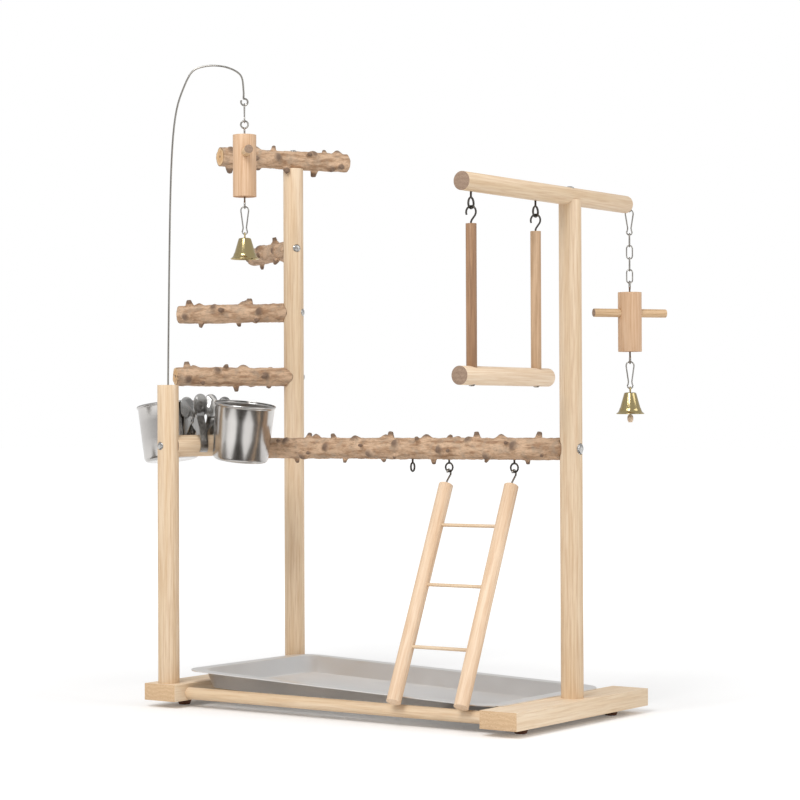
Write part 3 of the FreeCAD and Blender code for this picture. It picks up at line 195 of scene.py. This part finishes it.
def bark(name, tan, brown, grey, way):
    """A peeled branch: tan under-bark with long brown scars, grey weathered bumps and fine cracks."""
    material, tree = new_material(name)
    place = add(tree, "ShaderNodeTexCoord").outputs["Object"]
    long_marks = add(tree, "ShaderNodeMapping", {"Vector": place, "Rotation": along(way),
                     "Scale": (5 * MM, 5 * MM, 22 * MM)}, vector_type="TEXTURE")
    cracks = add(tree, "ShaderNodeMapping", {"Vector": place, "Rotation": along(way),
                 "Scale": (0.9 * MM, 0.9 * MM, 5 * MM)}, vector_type="TEXTURE")
    scars = add(tree, "ShaderNodeTexNoise", {"Vector": long_marks.outputs[0], "Scale": 1.0, "Detail": 5.0,
                "Roughness": 0.6})
    fine = add(tree, "ShaderNodeTexNoise", {"Vector": cracks.outputs[0], "Scale": 1.0, "Detail": 4.0,
               "Roughness": 0.65})
    patches = add(tree, "ShaderNodeTexNoise", {"Vector": place, "Scale": 1 / (9 * MM), "Detail": 3.0})
    scar_share = add(tree, "ShaderNodeMapRange", {"Value": scars.outputs[0], "From Min": 0.44,
                     "From Max": 0.62})
    patch_share = add(tree, "ShaderNodeMapRange", {"Value": patches.outputs[0], "From Min": 0.5,
                      "From Max": 0.7, "To Max": 0.7})
    fine_share = add(tree, "ShaderNodeMapRange", {"Value": fine.outputs[0], "From Min": 0.5, "From Max": 0.75,
                     "To Max": 0.6})
    ground = add(tree, "ShaderNodeMix", {"Factor": scar_share.outputs[0], 6: colour(tan), 7: colour(brown)},
                 data_type="RGBA")
    weathered = add(tree, "ShaderNodeMix", {"Factor": patch_share.outputs[0], 6: ground.outputs[2],
                    7: colour(grey)}, data_type="RGBA")
    cracked = add(tree, "ShaderNodeMix", {"Factor": fine_share.outputs[0], 6: weathered.outputs[2],
                  7: colour(CRACK_BROWN)}, data_type="RGBA")
    knob = add(tree, "ShaderNodeAttribute", attribute_name="knob")
    knob_share = add(tree, "ShaderNodeMapRange", {"Value": knob.outputs["Fac"], "From Min": 0.25,
                     "From Max": 0.8, "To Max": 0.85})
    tipped = add(tree, "ShaderNodeMix", {"Factor": knob_share.outputs[0], 6: cracked.outputs[2],
                 7: colour(KNOB_TIP_BROWN)}, data_type="RGBA")
    height = add(tree, "ShaderNodeMath", {0: scars.outputs[0], 1: fine.outputs[0]}, operation="ADD")
    relief = add(tree, "ShaderNodeBump", {"Height": height.outputs[0], "Strength": 0.8, "Distance": 0.8 * MM})
    close_material(tree, {"Base Color": tipped.outputs[2], "Roughness": 0.75, "Normal": relief.outputs[0]})
    return material


def cut_branch(name, centre, radius):
    """A branch sawn across: pale wood, a dark pith dot in the middle and a brown rim of bark."""
    material, tree = new_material(name)
    place = add(tree, "ShaderNodeTexCoord").outputs["Object"]
    centred = add(tree, "ShaderNodeMapping", {"Vector": place, "Location": centre,
                  "Scale": (radius, radius, radius)}, vector_type="TEXTURE")
    from_middle = add(tree, "ShaderNodeVectorMath", {0: centred.outputs[0]}, operation="LENGTH")
    pores = add(tree, "ShaderNodeTexNoise", {"Vector": place, "Scale": 1 / (1.1 * MM), "Detail": 3.0})
    wobble = add(tree, "ShaderNodeMapRange", {"Value": pores.outputs[0], "To Min": -0.06, "To Max": 0.06})
    reach = add(tree, "ShaderNodeMath", {0: from_middle.outputs["Value"], 1: wobble.outputs[0]},
                operation="ADD")
    rings = add(tree, "ShaderNodeValToRGB", {"Fac": reach.outputs[0]})
    ramp = rings.color_ramp
    ramp.elements[0].position = 0.12
    ramp.elements[0].color = colour("#5A3B24")
    ramp.elements[1].position = 0.2
    ramp.elements[1].color = colour("#D8B183")
    for position, tone in ((0.5, "#CDA273"), (0.82, "#DDBB8F"), (0.95, "#8A6644")):
        ramp.elements.new(position).color = colour(tone)
    close_material(tree, {"Base Color": rings.outputs[0], "Roughness": 0.7})
    return material


def drawn_metal(name, tone, roughness, scratch=0.5, anisotropic=0.0):
    """Metal that has been pressed or drawn: even colour, with small scratches that spread its shine."""
    material, tree = new_material(name)
    place = add(tree, "ShaderNodeTexCoord").outputs["Object"]
    scratches = add(tree, "ShaderNodeTexNoise", {"Vector": place, "Scale": 1 / (scratch * MM), "Detail": 4.0,
                    "Roughness": 0.7})
    clouds = add(tree, "ShaderNodeTexNoise", {"Vector": place, "Scale": 1 / (25 * MM), "Detail": 2.0})
    worn = add(tree, "ShaderNodeMath", {0: scratches.outputs[0], 1: clouds.outputs[0]}, operation="MULTIPLY")
    rough = add(tree, "ShaderNodeMapRange", {"Value": worn.outputs[0], "From Min": 0.1, "From Max": 0.45,
                "To Min": roughness * 0.75, "To Max": roughness * 1.35})
    relief = add(tree, "ShaderNodeBump", {"Height": scratches.outputs[0], "Strength": 0.08,
                 "Distance": 0.05 * MM})
    close_material(tree, {"Base Color": colour(tone), "Metallic": 1.0, "Roughness": rough.outputs[0],
                          "Anisotropic": anisotropic, "Normal": relief.outputs[0]})
    return material


def moulded_rubber(name, tone, dusty):
    """Natural rubber feet: matt brown with a dusty bloom."""
    material, tree = new_material(name)
    place = add(tree, "ShaderNodeTexCoord").outputs["Object"]
    bloom = add(tree, "ShaderNodeTexNoise", {"Vector": place, "Scale": 1 / (2 * MM), "Detail": 4.0})
    mixed = add(tree, "ShaderNodeMix", {"Factor": bloom.outputs[0], 6: colour(tone), 7: colour(dusty)},
                data_type="RGBA")
    close_material(tree, {"Base Color": mixed.outputs[2], "Roughness": 0.65})
    return material


PINE = ("#E6CFB2", "#DEC4A2", "#C8A580")
RUNNER_PINE = ("#F0DCC1", "#E9D0B0", "#D6B894")
DARK_ROD = ("#A98362", "#946F50", "#75543A")
CUP_DOWEL_BEARING = 81
LEFT_PEG_WAY = bearing(-44.5)
RIGHT_PEG_WAY = bearing(55)
LADDER_WAY = Vector((0.075, -0.49, -0.87))
cup_dowel_way = bearing(CUP_DOWEL_BEARING)

# Pale planed pine, with its grain along the piece, on posts, bars, runners and dowels.
pine_up = planed_wood("sanded_pine_upright", *PINE)
pine_across = planed_wood("sanded_pine_along_x", *PINE, way=Vector((1, 0, 0)))
pine_back = planed_wood("sanded_pine_along_y", *PINE, way=Vector((0, 1, 0)))
runner_pine = planed_wood("sanded_runner_pine", *RUNNER_PINE, way=Vector((0, 1, 0)))
pine_cup_dowel = planed_wood("sanded_pine_cup_dowel", *PINE, way=cup_dowel_way)
# Rosier, closer-grained beech on the ladder, the swing and the toys.
ladder_wood = planed_wood("sanded_beech_rails", "#EBD2B6", "#E4C6A6", "#D2AC88", way=LADDER_WAY)
rung_wood = planed_wood("thin_pine_rungs", *PINE, way=Vector((1, 0, 0)), streak=0.8)
brown_rod = planed_wood("swing_rods_beech", "#CFAE8C", "#BF9B78", "#9E7B58")
dark_rod = planed_wood("swing_front_rod_beech", *DARK_ROD)
swing_perch_wood = planed_wood("swing_perch_beech", "#EEDAC0", "#E6CDB0", "#D2B08C", way=Vector((0, 1, 0)))
block_wood = planed_wood("turned_beech_blocks", "#DDBB9A", "#D2AD8A", "#BC9169", streak=1.2)
left_peg_wood = planed_wood("left_peg_beech", "#DDBB92", "#CFA97E", "#B08858", way=LEFT_PEG_WAY)
right_peg_wood = planed_wood("right_dowel_beech", "#DDBD96", "#D0AC82", "#B58E62", way=RIGHT_PEG_WAY)
# Open, matt end grain, warm on the battens and grey-brown on the dowels.
pine_end = end_grain("sawn_pine_end", "#DDBE99", "#B08A60")
dark_end = end_grain("sawn_dowel_end", "#A58C78", "#6E5644", fleck=0.7)
# Mirror-like cups, a softer satin tray, dull dark hooks, bright wire and warm bells.
stainless = drawn_metal("polished_stainless_cups", "#BDBAB7", 0.2, anisotropic=0.4)
tray_steel = drawn_metal("brushed_stainless_tray", "#F0EEEC", 0.42, scratch=0.8)
bright_steel = drawn_metal("zinc_plated_clamps", "#B5B4B2", 0.25)
dark_steel = drawn_metal("blued_steel_hooks", "#55524E", 0.35)
bright_wire = drawn_metal("nickel_plated_wire", "#A5A29C", 0.25)
brass = drawn_metal("polished_brass_bells", "#B8A77A", 0.16)
# Small matt brown feet.
rubber = moulded_rubber("brown_rubber_feet", "#5B3423", "#7A523A")


# ---- pieces made from the model's own nodes --------------------------------------------------
MERGE_DISTANCE = 0.01 * MM
FLAT_DEGREES = 0.5               # faces this near to one plane count as one flat area
EDGE_DEGREES = 40                # corners sharper than this are real edges
ROUNDING_LOSS = 0.14             # of a six-sided wire's radius, taken by the rounding below


def select_only(piece):
    bpy.ops.object.select_all(action="DESELECT")
    piece.select_set(True)
    bpy.context.view_layer.objects.active = piece


def merged_copy(node, wire=False):
    """A selected copy of a node's mesh, its triangles joined and its flat areas cleared.

    A wire's sides can lie in one plane all along, so its triangles are only paired into quads.
    """
    source = frame["nodes"][node]
    piece = bpy.data.objects.new(node + "_finished", source.data.copy())
    bpy.context.scene.collection.objects.link(piece)
    select_only(piece)
    bpy.ops.object.mode_set(mode="EDIT")
    bpy.ops.mesh.select_all(action="SELECT")
    bpy.ops.mesh.remove_doubles(threshold=MERGE_DISTANCE)
    if wire:
        bpy.ops.mesh.tris_convert_to_quads()
    else:
        bpy.ops.mesh.dissolve_limited(angle_limit=math.radians(FLAT_DEGREES))
    bpy.ops.object.mode_set(mode="OBJECT")
    return piece


def apply_modifier(piece, kind, **settings):
    """Give a piece a modifier with its settings, and apply it at once."""
    modifier = piece.modifiers.new(kind.lower(), kind)
    for name, value in settings.items():
        setattr(modifier, name, value)
    bpy.context.view_layer.objects.active = piece
    bpy.ops.object.modifier_apply(modifier=modifier.name)


def give_ends(piece, material, way, limit=0.9):
    """Give the faces that look along a direction, either way, a material of their own."""
    piece.data.materials.append(material)
    slot = len(piece.data.materials) - 1
    for face in piece.data.polygons:
        if abs(face.normal.dot(way)) > limit:
            face.material_index = slot


def finish_node(node, material, ends=None, way=UP, edge=0.0, smooth=35, wire=0.0):
    """Dress a node: eased edges, smooth curved faces, its material and that of its sawn ends.

    The edge's width and the wire's diameter are in millimetres.
    """
    piece = merged_copy(node, wire > 0)
    if wire:
        apply_modifier(piece, "SUBSURF", levels=2)
        apply_modifier(piece, "DISPLACE", strength=wire / 2 * ROUNDING_LOSS * MM, mid_level=0)
    if edge:
        apply_modifier(piece, "BEVEL", width=edge * MM, segments=2, limit_method="ANGLE",
                       angle_limit=math.radians(EDGE_DEGREES), use_clamp_overlap=True)
    piece.data.materials.clear()
    piece.data.materials.append(material)
    for face in piece.data.polygons:
        face.material_index = 0
    if ends:
        give_ends(piece, ends, way)
    select_only(piece)
    bpy.ops.object.shade_smooth_by_angle(angle=math.radians(smooth))
    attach(piece, frame["nodes"][node]["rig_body"])
    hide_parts(node)
    return piece


for name in ("left_runner", "right_runner"):
    finish_node(name, runner_pine, pine_end, Vector((0, 1, 0)), edge=0.8)
for name in ("front_crossbar", "rear_crossbar"):
    finish_node(name, pine_across)
for name in ("front_left_post", "back_left_post", "right_post"):
    finish_node(name, pine_up, pine_end, UP, edge=0.6)
finish_node("cup_dowel", pine_cup_dowel, dark_end, cup_dowel_way, edge=0.6)
finish_node("top_dowel", pine_back, dark_end, Vector((0, 1, 0)), edge=0.6)
finish_node("ladder_rails", ladder_wood, edge=0.5)
finish_node("ladder_rungs", rung_wood)
swing_rods = finish_node("swing_rods", brown_rod, edge=0.4)    # the front rod is the darker one
swing_rods.data.materials.append(dark_rod)
for face in swing_rods.data.polygons:
    if face.center.y < middle("swing_rods").y:
        face.material_index = 1
finish_node("swing_perch", swing_perch_wood, dark_end, Vector((0, 1, 0)), edge=0.6)
for name in ("left_block", "right_block"):
    finish_node(name, block_wood, end_grain(name + "_end", "#C79B72", "#9C6A42"), UP, edge=0.7)
finish_node("left_cross_peg", left_peg_wood, dark_end, LEFT_PEG_WAY, edge=0.5)
finish_node("right_cross_dowel", right_peg_wood, dark_end, RIGHT_PEG_WAY, edge=0.5)
for name in ("left_clapper", "right_clapper"):
    finish_node(name, swing_perch_wood, smooth=60)
finish_node("rubber_feet", rubber, edge=0.5)
for name in ("foot_screws", "post_screws", "perch_screws", "swing_screws"):
    finish_node(name, bright_steel, smooth=50)
finish_node("tray", tray_steel, smooth=40)
for side in ("left", "right"):
    for part in ("clamp_back_arm", "clamp_front_arm", "clamp_pin", "cup_rivets"):
        finish_node(side + "_" + part, bright_steel)
    finish_node(side + "_clamp_spring", dark_steel, smooth=75)
for name in ("stand_eyes", "swing_hooks"):
    finish_node(name, dark_steel, smooth=75)
finish_node("wire_arm", bright_wire, smooth=75, wire=2.0)
for name in ("ladder_hooks", "left_clip", "left_block_eyes", "left_bell_clip", "right_clip",
             "right_block_eyes", "right_bell_clip"):
    finish_node(name, bright_wire, smooth=75)
for name in [node for node in frame["nodes"] if node.startswith("right_link")]:
    finish_node(name, bright_wire, smooth=75)


# ---- spun cups and bells ---------------------------------------------------------------------
SHEET = 0.8                      # thickness in mm
RIM_EASE = 0.25 * MM


def spun_shell(name, outline, sheet, material, sides=96):
    """A thin shell drawn down or up from a disc, one (radius, height) step at a time, in mm."""
    (radius, height), *rest = outline
    bpy.ops.object.select_all(action="DESELECT")
    bpy.ops.mesh.primitive_circle_add(vertices=sides, radius=radius * MM, fill_type="NGON",
                                      location=(0, 0, height * MM))
    piece = bpy.context.object
    piece.name = name
    bpy.ops.object.transform_apply(location=True, rotation=True, scale=True)
    bpy.ops.object.mode_set(mode="EDIT")
    bpy.ops.mesh.select_all(action="SELECT")
    for next_radius, next_height in rest:
        bpy.ops.mesh.extrude_region_move(
            TRANSFORM_OT_translate={"value": (0, 0, (next_height - height) * MM)})
        grow = next_radius / radius
        bpy.ops.transform.resize(value=(grow, grow, 1), center_override=(0, 0, next_height * MM))
        radius, height = next_radius, next_height
    bpy.ops.mesh.delete(type="ONLY_FACE")
    bpy.ops.mesh.select_all(action="SELECT")
    bpy.ops.mesh.normals_make_consistent(inside=False)
    bpy.ops.object.mode_set(mode="OBJECT")
    apply_modifier(piece, "SOLIDIFY", thickness=sheet * MM, offset=-1)
    apply_modifier(piece, "BEVEL", width=RIM_EASE, segments=2, limit_method="ANGLE",
                   angle_limit=math.radians(50))
    piece.data.materials.append(material)
    select_only(piece)
    bpy.ops.object.shade_smooth_by_angle(angle=math.radians(EDGE_DEGREES))
    return piece


CUP_OFFSET = 42.37 * MM          # from the dowel's axis to the cup's
CUP_DROP = 10 * MM               # from the dowel's axis to the cup's base
CUP_LEAN = 8.0
CUP_BASE = ((20, 0), (24.6, 0), (26.3, 0.4), (27.7, 1.4), (28.6, 2.7), (29.0, 4.4))
CUP_WALL = ((29.7, 24), (30.3, 42), (30.9, 56.6))
CUP_RIM = ((31.5, 57.0), (32.0, 57.7), (32.2, 58.5), (32.0, 59.3), (31.5, 59.8), (31.0, 60.0))
for side, turned in (("left", 180), ("right", 0)):
    cup = spun_shell(side + "_cup_spun", CUP_BASE + CUP_WALL + CUP_RIM, SHEET, stainless, sides=128)
    cup.location = (CUP_OFFSET, 0, -CUP_DROP)
    bpy.ops.object.transform_apply(location=True)
    cup.rotation_euler = (0, math.radians(CUP_LEAN), math.radians(CUP_DOWEL_BEARING - 90 + turned))
    cup.location = joint_places[side + "_cup_tilt"]
    bpy.ops.object.transform_apply(location=True, rotation=True)
    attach(cup, side + "_cup")
    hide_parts(side + "_cup")

BELL_HEIGHT = 22                 # these five in mm, like the outline below
LOOP_RADIUS = 2.6
LOOP_WIRE = 1.4
STAPLE_RADIUS = 2.2              # the ring inside, which the clapper hangs on
STAPLE_WIRE = 1.0
TOY_BEARING = 35.6
for side, reach in (("left", 15.0), ("right", 14.25)):
    loop_top = joint_places[side + "_bell_hinge"] + UP * (LOOP_WIRE + 0.2) * MM
    crown = -2 * LOOP_RADIUS - LOOP_WIRE / 2 + 0.4
    lip = crown - BELL_HEIGHT
    outline = [(reach * 0.3, crown), (reach * 0.4, crown - 0.4), (reach * 0.44, crown - 1.4),
               (reach * 0.72, crown - 15.6), (reach * 0.76, crown - 16.2), (reach * 0.79, crown - 18.0),
               (reach * 0.86, crown - 19.8), (reach * 0.95, crown - 20.8), (reach * 0.99, crown - 21.2),
               (reach, crown - 21.6), (reach * 0.985, lip)]
    shell = spun_shell(side + "_bell_spun", outline, SHEET, brass)
    shell.location = loop_top
    bpy.ops.object.transform_apply(location=True)
    parts = [shell]
    for radius, wire, height in ((LOOP_RADIUS, LOOP_WIRE / 2, -LOOP_RADIUS),
                                 (STAPLE_RADIUS, STAPLE_WIRE / 2, crown - 0.9 - 3.0)):
        bpy.ops.object.select_all(action="DESELECT")
        bpy.ops.mesh.primitive_torus_add(
            major_radius=radius * MM, minor_radius=wire * MM, major_segments=32, minor_segments=12,
            location=loop_top + UP * height * MM,
            rotation=(math.radians(90), 0, math.radians(TOY_BEARING + 90)))
        loop = bpy.context.object
        bpy.ops.object.transform_apply(location=True, rotation=True)
        loop.data.materials.append(brass)
        bpy.ops.object.shade_smooth()
        parts.append(loop)
    for part in parts:
        part.select_set(True)
    bpy.context.view_layer.objects.active = shell
    bpy.ops.object.join()
    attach(shell, side + "_bell")
    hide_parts(side + "_bell")


# ---- knobby branches -------------------------------------------------------------------------
KNOB_STAND = 4.2 * MM            # how far the model's knobs stand out of the branch
KNOB_GROWTH = 0.75               # the real ones are sharper, so they grow by this share


SMALL_KNOB_STAND = 4.0 * MM      # the lesser bumps between the model's knobs
SMALL_KNOB_REACH = 8.0 * MM
SMALL_KNOB_STEP = 11.0 * MM
GOLDEN_ANGLE = 137.5
FIRST_TURN = 40
UNDERSIDE = -0.75                # bumps below this slope are left out, clear of the hooks
CORE_SHARE = 0.8                 # points nearer the axis than this share of the radius stay put
VOXEL = 0.9 * MM
LUMP_HEIGHT = 1.6 * MM
LUMP_SIZE = 0.007
CORE_RADIUS = 10.7 * MM
LONG_CORE_RADIUS = 11.5 * MM
CUT_RADIUS = 10.5 * MM


def small_knobs(root, way, radius, spans):
    """Middles of the lesser bumps, wound round the branch like buds on a twig."""
    sideways = way.cross(UP).normalized()
    places = []
    for first, last in spans:
        for number in range(int((last - first) / SMALL_KNOB_STEP)):
            turn = math.radians(GOLDEN_ANGLE * number + FIRST_TURN)
            outwards = sideways * math.cos(turn) + UP * math.sin(turn)
            along_axis = first + SMALL_KNOB_STEP * (number + 0.5)
            if outwards.z > UNDERSIDE:
                places.append(root + way * along_axis + outwards * radius)
    return places


def grow_knobs(piece, root, way, radius, spans):
    """Draw the knobs out from the branch's axis, and note on each point how far out it stands."""
    marks = piece.data.attributes.new("knob", "FLOAT", "POINT")
    bumps = small_knobs(root, way, radius, spans)
    for vertex in piece.data.vertices:
        from_root = vertex.co - root
        outwards = from_root - way * from_root.dot(way)
        if outwards.length < radius * CORE_SHARE:
            continue
        beyond = max(outwards.length - radius, 0)
        growth = beyond * KNOB_GROWTH
        for bump in bumps:
            nearness = 1 - (vertex.co - bump).length / SMALL_KNOB_REACH
            if nearness > 0:
                growth = max(growth, SMALL_KNOB_STAND * nearness * nearness * (3 - 2 * nearness) - beyond)
        if beyond + growth > 0:
            marks.data[vertex.index].value = (beyond + growth) / KNOB_STAND
            vertex.co += outwards.normalized() * growth


def branch(node, way, ends, root, radius, spans):
    """Soften a branch's blunt knobs, roughen its bark and give its sawn ends a cut face."""
    piece = merged_copy(node)
    piece.data.remesh_voxel_size = VOXEL
    bpy.ops.object.voxel_remesh()
    apply_modifier(piece, "SMOOTH", factor=0.5, iterations=4)
    grow_knobs(piece, root, way, radius, spans)
    lumps = bpy.data.textures.new(node + "_lumps", "CLOUDS")
    lumps.noise_scale = LUMP_SIZE
    lumps.noise_depth = 3
    apply_modifier(piece, "DISPLACE", texture=lumps, texture_coords="LOCAL", strength=LUMP_HEIGHT,
                   mid_level=0.55)
    piece.data.materials.clear()
    piece.data.materials.append(bark(node + "_bark", "#D2B192", "#A27E5F", "#AC9782", way))
    for number, end in enumerate(ends):
        piece.data.materials.append(cut_branch("%s_cut_%d" % (node, number + 1), end, CUT_RADIUS))
        outwards = way if (end - middle(node)).dot(way) > 0 else -way
        for face in piece.data.polygons:
            if (face.center - end).dot(outwards) > -1.5 * MM and face.normal.dot(outwards) > 0.6:
                face.material_index = number + 1
    for face in piece.data.polygons:
        face.use_smooth = True
    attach(piece, frame["nodes"][node]["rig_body"])
    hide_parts(node)
    return piece


SIDE_PERCH_BEARINGS = {"upper_side_perch": 148, "middle_side_perch": 199, "lower_side_perch": 237}
PERCH_REACH = 0.136              # from the back post's axis to a side perch's sawn end
back_post_middle = middle("back_left_post")
for name, degrees in SIDE_PERCH_BEARINGS.items():
    root = Vector((back_post_middle.x, back_post_middle.y, middle(name).z))
    branch(name, bearing(degrees), [root + bearing(degrees) * PERCH_REACH], root, CORE_RADIUS,
           [(0.02, PERCH_REACH - 0.006)])
top_way = bearing(63)
TOP_PERCH_RISE = 9.3 * MM        # its axis over the back post's top
top_root = Vector((back_post_middle.x, back_post_middle.y,
                   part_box("back_left_post")[1].z + TOP_PERCH_RISE))
branch("top_perch", top_way, [top_root - top_way * 0.088, top_root + top_way * 0.066], top_root, CORE_RADIUS,
       [(-0.084, -0.016), (0.016, 0.062)])
long_root = middle("long_perch")
LADDER_HINGE_DROP = 23.15 * MM   # from the long perch's axis
long_root.y = middle("right_post").y
long_root.z = joint_places["ladder_hinge"].z + LADDER_HINGE_DROP
half_long = (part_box("long_perch")[1].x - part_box("long_perch")[0].x) / 2
branch("long_perch", Vector((1, 0, 0)), [], long_root, LONG_CORE_RADIUS,
       [(0.045 - half_long, half_long - 0.02)])


# ---- floor, backdrop and light ---------------------------------------------------------------
# White paper: it keeps the stand's shadow, and glows a little, more so far away, for a white backdrop.
FLOOR_DROP = 0.2 * MM
bpy.ops.object.select_all(action="DESELECT")
bpy.ops.mesh.primitive_plane_add(size=40, location=(0, 0, -FLOOR_DROP))
floor = bpy.context.object
floor.name = "floor"
floor_material, floor_tree = new_material("white_floor")
ray = add(floor_tree, "ShaderNodeLightPath")
seen = add(floor_tree, "ShaderNodeMath", {0: ray.outputs["Is Camera Ray"], 1: ray.outputs["Is Glossy Ray"]},
           operation="MAXIMUM")
seen_through = add(floor_tree, "ShaderNodeMath", {0: seen.outputs[0], 1: ray.outputs["Is Transmission Ray"]},
                   operation="MAXIMUM")
place = add(floor_tree, "ShaderNodeTexCoord").outputs["Object"]
reach = add(floor_tree, "ShaderNodeVectorMath", {0: place}, operation="LENGTH")
far_lift = add(floor_tree, "ShaderNodeMapRange", {"Value": reach.outputs["Value"], "From Min": 0.35,
               "From Max": 1.4, "To Min": 0.1, "To Max": 0.5})
lift = add(floor_tree, "ShaderNodeMath", {0: seen_through.outputs[0], 1: far_lift.outputs[0]},
           operation="MULTIPLY")
paper = add(floor_tree, "ShaderNodeBsdfDiffuse", {"Color": colour("#F6F6F6")})
glow = add(floor_tree, "ShaderNodeEmission", {"Color": (1, 1, 1, 1), "Strength": lift.outputs[0]})
both = add(floor_tree, "ShaderNodeAddShader", {0: paper.outputs[0], 1: glow.outputs[0]})
add(floor_tree, "ShaderNodeOutputMaterial", {"Surface": both.outputs[0]})
floor.data.materials.append(floor_material)

world = bpy.data.worlds.new("studio")
bpy.context.scene.world = world
world.use_nodes = True
world.node_tree.nodes.clear()
ray = add(world.node_tree, "ShaderNodeLightPath")
seen = add(world.node_tree, "ShaderNodeMath", {0: ray.outputs["Is Camera Ray"],
           1: ray.outputs["Is Transmission Ray"]}, operation="MAXIMUM")
ambient = add(world.node_tree, "ShaderNodeBackground", {"Color": (1, 1, 1, 1), "Strength": 0.62})
white = add(world.node_tree, "ShaderNodeBackground", {"Color": (1, 1, 1, 1), "Strength": 1.0})
chosen = add(world.node_tree, "ShaderNodeMixShader", {0: seen.outputs[0], 1: ambient.outputs[0],
             2: white.outputs[0]})
add(world.node_tree, "ShaderNodeOutputWorld", {"Surface": chosen.outputs[0]})


def soft_lamp(name, bearing_degrees, height, distance, size, watts):
    """A square lamp that looks at the middle of the stand."""
    aim = base_middle + UP * 0.28
    place = base_middle + bearing(bearing_degrees) * distance + UP * height
    bpy.ops.object.light_add(type="AREA", location=place)
    lamp = bpy.context.object
    lamp.name = name
    lamp.data.size = size
    lamp.data.energy = watts
    lamp.rotation_euler = (aim - place).to_track_quat("-Z", "Y").to_euler()


def dark_card(name, tone, place, facing, width, length):
    """A dark sheet that only shiny surfaces show, as the dark band between bright ones on a real cup."""
    bpy.ops.object.select_all(action="DESELECT")
    bpy.ops.mesh.primitive_plane_add(size=1, location=place)
    card = bpy.context.object
    card.name = name
    card.scale = (width, length, 1)
    card.rotation_euler = facing
    card_material, card_tree = new_material(name)
    card_glow = add(card_tree, "ShaderNodeEmission", {"Color": colour(tone), "Strength": 1.0})
    add(card_tree, "ShaderNodeOutputMaterial", {"Surface": card_glow.outputs[0]})
    card.data.materials.append(card_material)
    card.visible_camera = False
    card.visible_diffuse = False
    card.visible_shadow = False
    card.visible_transmission = False


CAMERA_SIDE = CAMERA_BEARING - 90
card_way = bearing(CAMERA_SIDE)
dark_card("dark_room", "#6B6662", base_middle + card_way * 3.2 + UP * 0.6,
          card_way.to_track_quat("Z", "Y").to_euler(), 2.4, 4.0)
cup_ground = joint_places["right_cup_tilt"].copy()
cup_ground.z = 2 * MM
for name, tone, degrees, width in (("dark_floor_middle", "#4E4A47", -64, 0.5),
                                   ("dark_floor_right", "#77726D", 10, 0.7),
                                   ("dark_floor_left", "#8E8984", -125, 0.5)):
    dark_card(name, tone, cup_ground + bearing(degrees) * 1.3, (0, 0, math.radians(degrees - 90)), width, 2.0)

soft_lamp("key", -80, 2.2, 2.0, 1.2, 42)
soft_lamp("fill", 10, 1.4, 2.4, 1.6, 14)

bpy.context.scene.view_settings.view_transform = "Standard"
